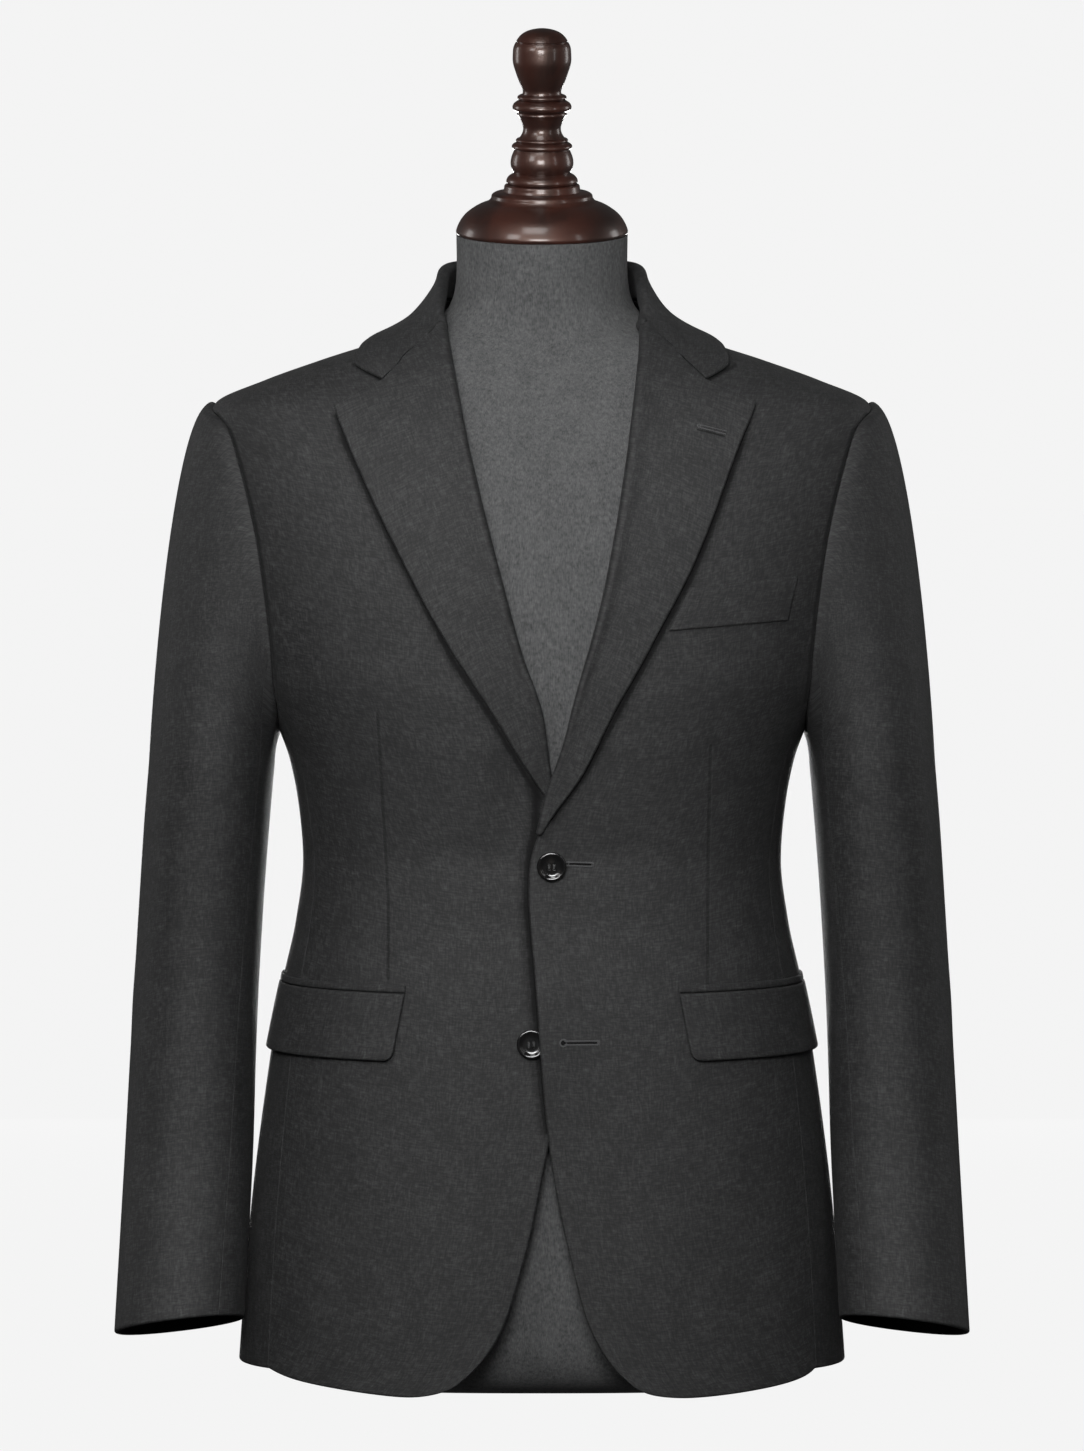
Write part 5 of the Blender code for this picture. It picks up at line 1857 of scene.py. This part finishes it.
@dataclass
class Pocket:
    """A flap that hangs from a narrow jetting."""

    side: Side
    inner_top: tuple[float, float] = (92.5, 286.6)
    inner_foot: tuple[float, float] = (101, 240.5)
    end_angle: float = 5.0
    end_top: float = 289.4
    end_foot: float = 243.4
    jet_height: float = 5.0
    corner_radius: float = 7.0
    length: float = 0.165
    drop: float = 0.046
    flare: float = 0.0019
    jet_gap: float = 0.0004
    step: tuple[float, float] = (0.0025, 0.0022)
    jet_step: float = 0.0009
    flap_cut: Cut = Cut(0.175, 0.052, 0.0082)
    jet_cut: Cut = Cut(0.175, 0.0105, 0.00094)

    def corners(self) -> tuple[Grid, Grid, Grid, Grid]:
        """The flap's front top, front foot, back top and back foot, as angles and heights."""
        end = math.radians(self.end_angle)
        front = SURFACE.flat((self.inner_top, self.inner_foot))
        return front[0], front[1], np.array([end, self.end_top * MM]), np.array([end, self.end_foot * MM])

    def flap_patch(self) -> Grid:
        """The flap, its front lower corner rounded."""
        top_start, foot_start, top_end, foot_end = self.corners()
        along, down = (foot_end - foot_start) / self.length, (top_start - foot_start) / self.drop
        radius = self.corner_radius * MM

        def border(size: float, sign: int) -> Line:
            """A border that starts at the middle of the rounded corner, as a function of its share."""

            def at(shares: Grid) -> Grid:
                """The points at these shares."""
                far = np.asarray(shares, float) * size
                bend = math.pi * 1.25 + sign * math.pi / 4 * np.clip(far / radius, 0, 1)
                past = (far, 0.0) if sign > 0 else (0.0, far)
                run = np.where(far < radius, radius + radius * np.cos(bend), past[0])
                rise = np.where(far < radius, radius + radius * np.sin(bend), past[1])
                return foot_start + along * run[:, None] + down * rise[:, None]

            return at

        foot, inner = border(self.length, 1), border(self.drop, -1)
        across, up = edge_shares(self.length, self.step[0]), edge_shares(self.drop, self.step[1])
        return net(foot, straight(top_start, top_end), inner, straight(foot_end, top_end), across, up)

    def jet_patch(self) -> Grid:
        """The jetting, just above the flap."""
        start, _, end, _ = self.corners()
        low, high = np.array([0, self.jet_gap]), np.array([0, self.jet_gap + self.jet_height * MM])
        foot, top = straight(start + low, end + low), straight(start + high, end + high)
        inner, outer = straight(start + low, start + high), straight(end + low, end + high)
        across = edge_shares(self.length, self.step[0])
        up = edge_shares(self.jet_height * MM, self.jet_step)
        return net(foot, top, inner, outer, across, up)

    def build(self, room: Workroom) -> None:
        """Makes the flap and the jetting."""
        word, lying = self.side.word, CLOTH + LAYER_GAP
        patch = self.flap_patch()
        up = edge_shares(self.drop, self.step[1])
        out = lying + self.flare * (1 - up)[:, None] * np.ones(patch.shape[1])
        flap = wall("pocket_flap_" + word, self.side, patch, out, CLOTH, (FOLD, FOLD, FOLD, FOLD))
        rests_on = ("front_panel_" + word, "side_panel_" + word)
        room.sew(flap, ("flap_" + word,), self.flap_cut, rests_on=rests_on)
        edges = (FOLD, FOLD, FOLD, SEAM)
        jet = wall("pocket_jetting_" + word, self.side, self.jet_patch(), lying, WELT_CLOTH, edges)
        room.sew(jet, ("jet_" + word,), self.jet_cut, None, room.finishes.wool, Hold.LAID, rests_on)


@dataclass
class BreastWelt:
    """The slanting welt of the breast pocket."""

    top: Table = ((100, 563.8), (172.5, 571))
    foot: Table = ((85.6, 534.6), (165.5, 541))
    cut: Cut = Cut(0.095, 0.030, 0.0025)
    length: float = 0.090
    drop: float = 0.029
    step: tuple[float, float] = (0.0025, 0.0022)

    def build(self, room: Workroom) -> None:
        """Makes the welt."""
        top = SURFACE.flat(tuple(self.between(self.top, share) for share in even(8)))
        foot = SURFACE.flat(tuple(self.between(self.foot, share) for share in even(8)))
        across, up = edge_shares(self.length, self.step[0]), edge_shares(self.drop, self.step[1])
        inner, outer = straight(foot[0], top[0]), straight(foot[-1], top[-1])
        patch = net(smooth_line(foot), smooth_line(top), inner, outer, across, up)
        edges = (SOFT_SEAM, SEAM, SEAM, FOLD)
        piece = wall("breast_pocket_welt", Side.LEFT, patch, CLOTH + LAYER_GAP, WELT_CLOTH, edges)
        wool = room.finishes.wool
        room.sew(piece, ("breast_welt",), self.cut, wool, wool, Hold.LAID, ("front_panel_left",))

    @staticmethod
    def between(ends: Table, share: float) -> tuple[float, float]:
        """The point at a share of the way between two points."""
        (x0, z0), (x1, z1) = ends
        return x0 + (x1 - x0) * share, z0 + (z1 - z0) * share


@dataclass
class Button:
    """A four-hole button with a dished face and a rolled rim, sewn on with thread."""

    name: str
    side: Side
    out: float
    height: float
    lift: float
    radius: float = 0.0101
    depth: float = 0.0034
    hole: float = 0.00095
    spread: float = 0.0024
    strand_half_gap: float = 0.00045
    strand_lift: float = 0.0001

    # Profile from the middle of the face to the middle of the back: share of radius, share of depth
    PROFILE = (
        (0.0, 0.60), (0.30, 0.60), (0.55, 0.62), (0.66, 0.70), (0.74, 0.86), (0.80, 0.96),
        (0.87, 1.0), (0.94, 0.95), (0.985, 0.80), (1.0, 0.60), (0.985, 0.40), (0.93, 0.18),
        (0.80, 0.03), (0.60, 0.0), (0.0, 0.0),
    )
    # Profile of the wound thread from inside the button down into the cloth: radius, height
    NECK = ((0, 1.0), (1.5, 1.0), (1.5, 0), (1.7, -0.8), (2.1, -1.5), (2.2, -1.8), (0, -1.8))

    def place(self) -> Matrix:
        """Where the button's back sits, its axis along the way out of the cloth."""
        angle = SURFACE.front_angle(np.array(self.out), np.array(self.height))
        turned = np.array([self.side.value, 1, 1])
        point = SURFACE.off(angle, np.array(self.height), self.lift) * turned
        normal = SURFACE.normal(angle, np.array(self.height)) * turned
        turn = Vector(normal).to_track_quat("Z", "Y").to_matrix().to_4x4()
        return Matrix.Translation(Vector(point)) @ turn

    def build(self, room: Workroom) -> None:
        """Makes the button and its thread."""
        rows = np.array(self.PROFILE) * np.array([self.radius, self.depth])
        profile = np.concatenate([rows[:1], smooth_line(rows[1:-2], False)(even(40)), rows[-2:]])
        obj = room.lathe.turn(self.name + "_horn", profile, 72, room.finishes.horn, Matrix.Identity(4))
        self.drill(obj)
        place = self.place()
        obj.data.transform(place)
        obj.data.shade_smooth()
        obj.data.set_sharp_from_angle(angle=SHARP_TURNED)
        room.hand_in(obj, Slot.BUTTON, self.name)
        thread = room.finishes.thread
        shank = room.lathe.turn(self.name + "_shank", np.array(self.NECK) * MM, 24, thread, place)
        room.hand_in(shank, Slot.BUTTON)
        face, aside = self.depth * self.PROFILE[0][1] + self.strand_lift, self.strand_half_gap
        paths = []
        for across in (-1, 1):
            middle = across * self.spread / math.sqrt(2)
            line = np.array([[middle - aside, 0, face], [middle + aside, 0, face]])
            world = np.array([place @ Vector(point) for point in line])
            up = np.tile(np.array(place.to_3x3() @ Vector((0, 0, 1))), (2, 1))
            paths.append((world, up))
        values = {
            "Spacing": 0.0003,
            "Stitch length": self.spread * math.sqrt(2) + 0.0012,
            "Thread radius": 0.00022,
            "Slant": 0.04,
            "Seed": 5,
            "Thread": thread,
        }
        room.hand_in(room.needle.sew(self.name + "_thread", paths, values), Slot.BUTTON)

    def drill(self, obj: bpy.types.Object) -> None:
        """Cuts the four holes and leaves a plain mesh."""
        cutters = []
        for i in range(4):
            turn = math.pi / 4 + i * math.pi / 2
            bpy.ops.mesh.primitive_cylinder_add(vertices=20, radius=self.hole, depth=self.depth * 4)
            cutter = bpy.context.active_object
            across, along = self.spread * math.cos(turn), self.spread * math.sin(turn)
            cutter.data.transform(Matrix.Translation((across, along, 0)))
            cut = obj.modifiers.new(f"hole_{i}", "BOOLEAN")
            cut.operation = "DIFFERENCE"
            cut.object = cutter
            cutters.append(cutter)
        bpy.context.view_layer.update()
        drilled = bpy.data.meshes.new_from_object(obj.evaluated_get(bpy.context.evaluated_depsgraph_get()))
        obj.modifiers.clear()
        obj.data = drilled
        for cutter in cutters:
            bpy.data.objects.remove(cutter)


@dataclass
class Buttonhole:
    """A worked buttonhole: purl stitches round a slit, a round eye in front and a bar at the end."""

    name: str
    start: tuple[float, float]
    end: tuple[float, float]
    height_above: Callable[[Grid, Grid], Grid]
    eye: float = 0.0
    stitch: float = 0.0015
    bar: float = 0.0
    half_slit: float = 0.0005
    stitches_a_side: int = 24
    eye_gap: float = 0.30
    eye_points: int = 22

    def path(self) -> tuple[Grid, Grid]:
        """The path of the stitches round the slit, and the way out of the cloth along it."""
        first, last = np.array(self.start) * MM, np.array(self.end) * MM
        way = unit(last - first)
        aside = np.array([-way[1], way[0]])
        gap, shares = self.half_slit + self.stitch / 2, even(self.stitches_a_side)[1:-1]
        line = [last + aside * gap]
        line += [last + (first - last) * share + aside * gap for share in shares]
        radius = max(self.eye + self.stitch / 2, gap)
        for turn in np.linspace(self.eye_gap, 2 * math.pi - self.eye_gap, self.eye_points):
            line.append(first + way * radius * math.cos(turn) + aside * radius * math.sin(turn))
        line += [first + (last - first) * share - aside * gap for share in shares]
        line.append(last - aside * gap)
        flat = np.array(line)
        angle = SURFACE.front_angle(flat[:, 0], flat[:, 1])
        offset = self.height_above(angle, flat[:, 1])
        return SURFACE.off(angle, flat[:, 1], offset), SURFACE.normal(angle, flat[:, 1])

    def build(self, room: Workroom) -> None:
        """Sews the buttonhole and its bar."""
        points, ways = self.path()
        values = {
            "Spacing": 0.00042,
            "Stitch length": self.stitch,
            "Thread radius": 0.00027,
            "Slant": 0.06,
            "Seed": 11,
            "Thread": room.finishes.thread,
        }
        room.hand_in(room.needle.sew(self.name, [(points, ways)], values), Slot.WOOL)
        if self.bar:
            first, last = np.array(self.start) * MM, np.array(self.end) * MM
            way = unit(last - first)
            flat = np.stack([last - way * 0.0003, last + way * 0.0009])
            angle = SURFACE.front_angle(flat[:, 0], flat[:, 1])
            line = SURFACE.off(angle, flat[:, 1], self.height_above(angle, flat[:, 1]) + 0.0001)
            values["Stitch length"] = self.bar
            bar = room.needle.sew(self.name + "_bar", [(line, SURFACE.normal(angle, flat[:, 1]))], values)
            room.hand_in(bar, Slot.WOOL)


@dataclass
class DressForm:
    """The limbless torso under its knit cover, with a turned cap and finial."""

    around: int = 144
    neck_half_width: float = 0.0590
    neck_half_depth: float = 0.0605
    neck_tilt: float = math.radians(7.0)
    neck_top: float = 0.8035
    neck_top_middle: float = -0.0015
    cap_gap: float = 0.0004
    blunt_power: int = 14
    level_foot: float = 0.15
    ring_step: float = 0.006

    def rings(self) -> list[Grid]:
        """The torso's own sections and the neck's, from the foot up."""
        turn = np.linspace(-math.pi, math.pi, self.around, endpoint=False)
        behind = np.abs(turn) > math.pi / 2
        mirrored = np.where(behind, np.sign(turn) * math.pi - turn, turn)
        flip = np.where(behind, -1.0, 1.0)
        coarse = []
        for height, gap, limit in np.array(FORM, float) * MM:
            ring = SURFACE.off(mirrored, np.full(self.around, height), np.full(self.around, -gap))
            blunt = (1 + (np.abs(ring[:, 0]) / limit) ** self.blunt_power) ** (-1 / self.blunt_power)
            ring[:, 0] *= blunt * flip
            if height < self.level_foot:
                ring[:, 2] = height - FOOT_RISE
            coarse.append(ring)
        for height, half, depth, back in np.array(NECK, float) * MM:
            level = np.full(self.around, height - FOOT_RISE)
            coarse.append(np.stack([half * np.cos(turn), back + depth * np.sin(turn), level], axis=-1))
        tilt = np.array(Matrix.Rotation(self.neck_tilt, 3, "X"))
        wide, deep = self.neck_half_width * np.cos(turn), self.neck_half_depth * np.sin(turn)
        middle = np.array([0, self.neck_top_middle, self.neck_top - FOOT_RISE])
        coarse.append(np.stack([wide, deep, np.zeros(self.around)], axis=-1) @ tilt.T + middle)
        stack = np.stack(coarse)
        rings = []
        levels = stack.mean(axis=1)[:, 2]
        for i in range(len(stack) - 1):
            steps = max(1, round((levels[i + 1] - levels[i]) / self.ring_step))
            for share in np.linspace(0, 1, steps, endpoint=False):
                rings.append(self.between(stack, i, share))
        rings.append(stack[-1])
        return rings

    @staticmethod
    def between(stack: Grid, i: int, share: float) -> Grid:
        """The ring at a share of the way from one ring to the next, on a smooth curve."""
        before, after = stack[max(i - 1, 0)], stack[min(i + 2, len(stack) - 1)]
        first, last = stack[i], stack[i + 1]
        pairs = ((before, first), (first, last), (last, after))
        gaps = [np.linalg.norm(b - a, axis=-1, keepdims=True) for a, b in pairs]
        start = (last - before) * gaps[1] / np.maximum(gaps[0] + gaps[1], 1e-9)
        end = (after - first) * gaps[1] / np.maximum(gaps[1] + gaps[2], 1e-9)
        t = share
        near = first * (1 + 2 * t) * (1 - t) ** 2 + start * t * (1 - t) ** 2
        return near + last * t * t * (3 - 2 * t) + end * t * t * (t - 1)

    def build(self, room: Workroom) -> None:
        """Makes the covered torso and the turned top."""
        rings = self.rings()
        count, around = len(rings), self.around
        corner = np.arange(count * around).reshape(count, around)
        after = np.roll(corner, -1, axis=1)
        sides = np.stack([corner[:-1], after[:-1], after[1:], corner[1:]], axis=-1).reshape(-1, 4).tolist()
        mesh = bpy.data.meshes.new("form_cover")
        ends = [corner[0][::-1].tolist(), corner[-1].tolist()]
        mesh.from_pydata(np.concatenate(rings).tolist(), [], sides + ends)
        mesh.materials.append(room.finishes.jersey)
        mesh.shade_smooth()
        mesh.set_sharp_from_angle(angle=SHARP_FORM)
        room.hand_in(placed("form_cover", mesh), Slot.FORM_CLOTH, "form_body")
        back = self.neck_top_middle - self.cap_gap * math.sin(self.neck_tilt)
        up = self.neck_top + self.cap_gap * math.cos(self.neck_tilt) - FOOT_RISE
        place = Matrix.Translation((0, back, up)) @ Matrix.Rotation(self.neck_tilt, 4, "X")
        for name, table, node in (("turned_cap", CAP, "form_cap"), ("turned_finial", FINIAL, "form_finial")):
            turned = room.lathe.turn(name, self.profile(table), 96, room.finishes.wood, place)
            room.hand_in(turned, Slot.WOOD, node)

    @staticmethod
    def profile(table: Table) -> Grid:
        """The profile with its round stretches drawn smoothly between its sharp corners."""
        rows = np.array(table, float)
        sharp = [0] + [i for i in range(1, len(rows) - 1) if rows[i, 2]] + [len(rows) - 1]
        parts = []
        for first, last in zip(sharp, sharp[1:]):
            stretch = rows[first : last + 1, :2] * MM
            if last - first < 2:
                parts.append(stretch[:-1])
            else:
                parts.append(smooth_line(stretch, False)(even(6 * (last - first)))[:-1])
        parts.append(rows[-1:, :2] * MM)
        line = np.concatenate(parts)
        line[:, 0] = np.maximum(line[:, 0], 0.0)
        return line


@dataclass
class Studio:
    """The plain pale floor, the soft lights and the camera."""

    distance: float = 8.0
    elevation: float = math.radians(2.5)
    aim: float = 0.456
    pixels_per_radian: float = 11594.0
    image_height: float = 1451.0
    sensor: float = 36.0
    floor_radius: float = 24.0
    floor_height: float = -0.0003
    dome_radius: float = 26.0
    around: int = 96
    dome_rows: int = 20
    room_light: float = 0.05
    look_at: tuple[float, float, float] = (0, 0, 0.5)

    # Each light's name, place, width, height and power in watts
    LIGHTS = (
        ("front_light", (-0.15, -2.1, 1.10), 0.8, 0.7, 30),
        ("top_light", (-0.25, -1.2, 2.1), 0.8, 0.6, 8),
        ("upper_left_light", (-1.3, -1.6, 1.7), 0.6, 0.7, 9),
        ("right_light", (1.2, -1.0, 1.1), 0.10, 1.0, 1.5),
        ("back_light", (0.0, 2.4, 0.32), 1.4, 0.6, 34),
        ("left_side_light", (-2.2, 1.0, 1.1), 0.6, 1.2, 7),
        ("right_side_light", (2.2, 1.0, 1.1), 0.6, 1.2, 7),
    )

    def build(self) -> None:
        """Makes the studio."""
        bpy.context.scene.view_settings.view_transform = "Standard"
        self.camera()
        self.floor()
        self.lights()

    def camera(self) -> None:
        """A long lens, a little above the middle of the jacket."""
        data = bpy.data.cameras.new("camera")
        data.sensor_width = self.sensor
        data.lens = self.pixels_per_radian / self.image_height * self.sensor
        data.clip_start, data.clip_end = 0.1, 60
        camera = placed("camera", data)
        away = self.distance * math.cos(self.elevation)
        camera.location = (0, -away, self.aim + self.distance * math.sin(self.elevation))
        self.turn_to(camera, (0, 0, self.aim))
        bpy.context.scene.camera = camera

    @staticmethod
    def turn_to(obj: bpy.types.Object, target: tuple[float, float, float]) -> None:
        """Turns a camera or a light towards a place."""
        toward = Vector(target) - obj.location
        obj.rotation_euler = toward.to_track_quat("-Z", "Y").to_euler()

    def floor(self) -> None:
        """A wide floor and a far dome, both plain and pale, which shed no light on the jacket."""
        finish = PaleStudio().material()
        turn, n = np.linspace(0, 2 * math.pi, self.around, endpoint=False), self.around
        points = self.circle(turn, self.floor_radius, self.floor_height)
        self.stage_piece("studio_floor", points, [tuple(range(n))], finish)
        points, faces = [], []
        for i, rise in enumerate(np.linspace(-0.2, math.pi / 2 - 0.01, self.dome_rows)):
            points += self.circle(turn, self.dome_radius * math.cos(rise), self.dome_radius * math.sin(rise))
            if i:
                low, high = n * (i - 1), n * i
                faces += [(low + (k + 1) % n, low + k, high + k, high + (k + 1) % n) for k in range(n)]
        faces.append(tuple(range(n * self.dome_rows - 1, n * (self.dome_rows - 1) - 1, -1)))
        self.stage_piece("studio_dome", points, faces, finish)

    @staticmethod
    def circle(turn: Grid, radius: float, height: float) -> list[tuple[float, float, float]]:
        """Points round the upright axis."""
        return [(radius * math.cos(t), radius * math.sin(t), height) for t in turn]

    @staticmethod
    def stage_piece(
        name: str,
        points: list[tuple[float, float, float]],
        faces: list[tuple[int, ...]],
        finish: bpy.types.Material,
    ) -> None:
        """Makes one part of the studio, which the jacket neither reflects nor is lit by.

        Args:
            name: its name.
            points: its points.
            faces: its faces.
            finish: its material.
        """
        mesh = bpy.data.meshes.new(name)
        mesh.from_pydata(points, [], faces)
        mesh.materials.append(finish)
        obj = placed(name, mesh)
        obj.visible_diffuse = False
        obj.visible_glossy = False

    def lights(self) -> None:
        """A soft light above the camera's left, narrow boxes at the sides and a dim room all round."""
        world = bpy.data.worlds.new("soft_room")
        world.use_nodes = True
        background = world.node_tree.nodes["Background"]
        background.inputs["Color"].default_value = (1, 1, 1, 1)
        background.inputs["Strength"].default_value = self.room_light
        bpy.context.scene.world = world
        for name, place, width, height, power in self.LIGHTS:
            data = bpy.data.lights.new(name, "AREA")
            data.shape = "RECTANGLE"
            data.size, data.size_y = width, height
            data.energy = power
            lamp = placed(name, data)
            lamp.location = place
            self.turn_to(lamp, self.look_at)


def on_left_front(angle: Grid, height: Grid) -> Grid:
    """How far the stitches on the left front stand off the body surface."""
    return Layering.of(Side.LEFT, angle, height) + CLOTH + STITCH_LIFT


def on_left_lapel(angle: Grid, height: Grid) -> Grid:
    """How far the stitches on the left lapel stand off the body surface."""
    return np.full(np.shape(angle), CLOTH + LAYER_GAP + Lapel.lying + LAPEL_CLOTH + STITCH_LIFT)


# Soft folds, in degrees round the body or the sleeve and mm up: start, end, half width, rise
FRONT_FOLDS = (
    SoftFold((-84, 372), (-52, 392), 9, -0.5),
    SoftFold((-84, 360), (-50, 352), 11, 0.4),
    SoftFold((-60, 150), (-55, 40), 20, 0.8),
    SoftFold((-40, 160), (-36, 40), 22, -0.7),
)
SIDE_FOLDS = (SoftFold((-6, 430), (4, 360), 12, -0.5),)
BACK_FOLDS = (
    SoftFold((60, 700), (44, 620), 20, 0.6),
    SoftFold((40, 380), (76, 350), 14, -0.7),
    SoftFold((42, 350), (72, 330), 12, 0.5),
)
SLEEVE_FOLDS = (
    SoftFold((-60, 430), (-70, 300), 10, 0.7),
    SoftFold((-30, 400), (-40, 250), 12, -0.6),
    SoftFold((20, 300), (-25, 255), 14, 0.5),
)


def main() -> None:
    """Builds every sub-assembly in order."""
    logging.basicConfig(level=logging.INFO, format="%(name)s %(message)s")
    for obj in list(bpy.data.objects):
        bpy.data.objects.remove(obj, do_unlink=True)
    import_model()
    room = Workroom(Finishes(), Lathe(), Needle())
    Studio().build()
    DressForm().build(room)
    for side, edge, hem in ((Side.LEFT, LEFT_EDGE, LEFT_HEM), (Side.RIGHT, RIGHT_EDGE, RIGHT_HEM)):
        BackPanel(side, BACK_FOLDS).build(room)
        SidePanel(side, SIDE_FOLDS).build(room)
        FrontPanel(side, edge, hem, FRONT_FOLDS).build(room)
        Sleeve(side, SLEEVE_FOLDS).build(room)
        Pocket(side).build(room)
    BreastWelt().build(room)
    Lapel(Side.LEFT, LEFT_EDGE, LEFT_GORGE, LEFT_LAPEL).build(room)
    Lapel(Side.RIGHT, RIGHT_EDGE, RIGHT_GORGE, RIGHT_LAPEL).build(room)
    Collar().build(room)
    lift = float(Layering.left(*np.array(UPPER_BUTTON)))
    Button("button_upper", Side.LEFT, *UPPER_BUTTON, lift + CLOTH + SHANK).build(room)
    drop = float(Layering.right(*np.array(LOWER_BUTTON)))
    Button("button_lower", Side.RIGHT, *LOWER_BUTTON, drop + CLOTH + LAYER_GAP).build(room)
    Buttonhole("buttonhole_upper", *UPPER_HOLE, on_left_front, bar=0.0038).build(room)
    Buttonhole("buttonhole_lower", *LOWER_HOLE, on_left_front, eye=0.0016, bar=0.0042).build(room)
    Buttonhole("lapel_buttonhole", *LAPEL_HOLE, on_left_lapel, stitch=0.0009).build(room)


if __name__ == "__main__":
    main()
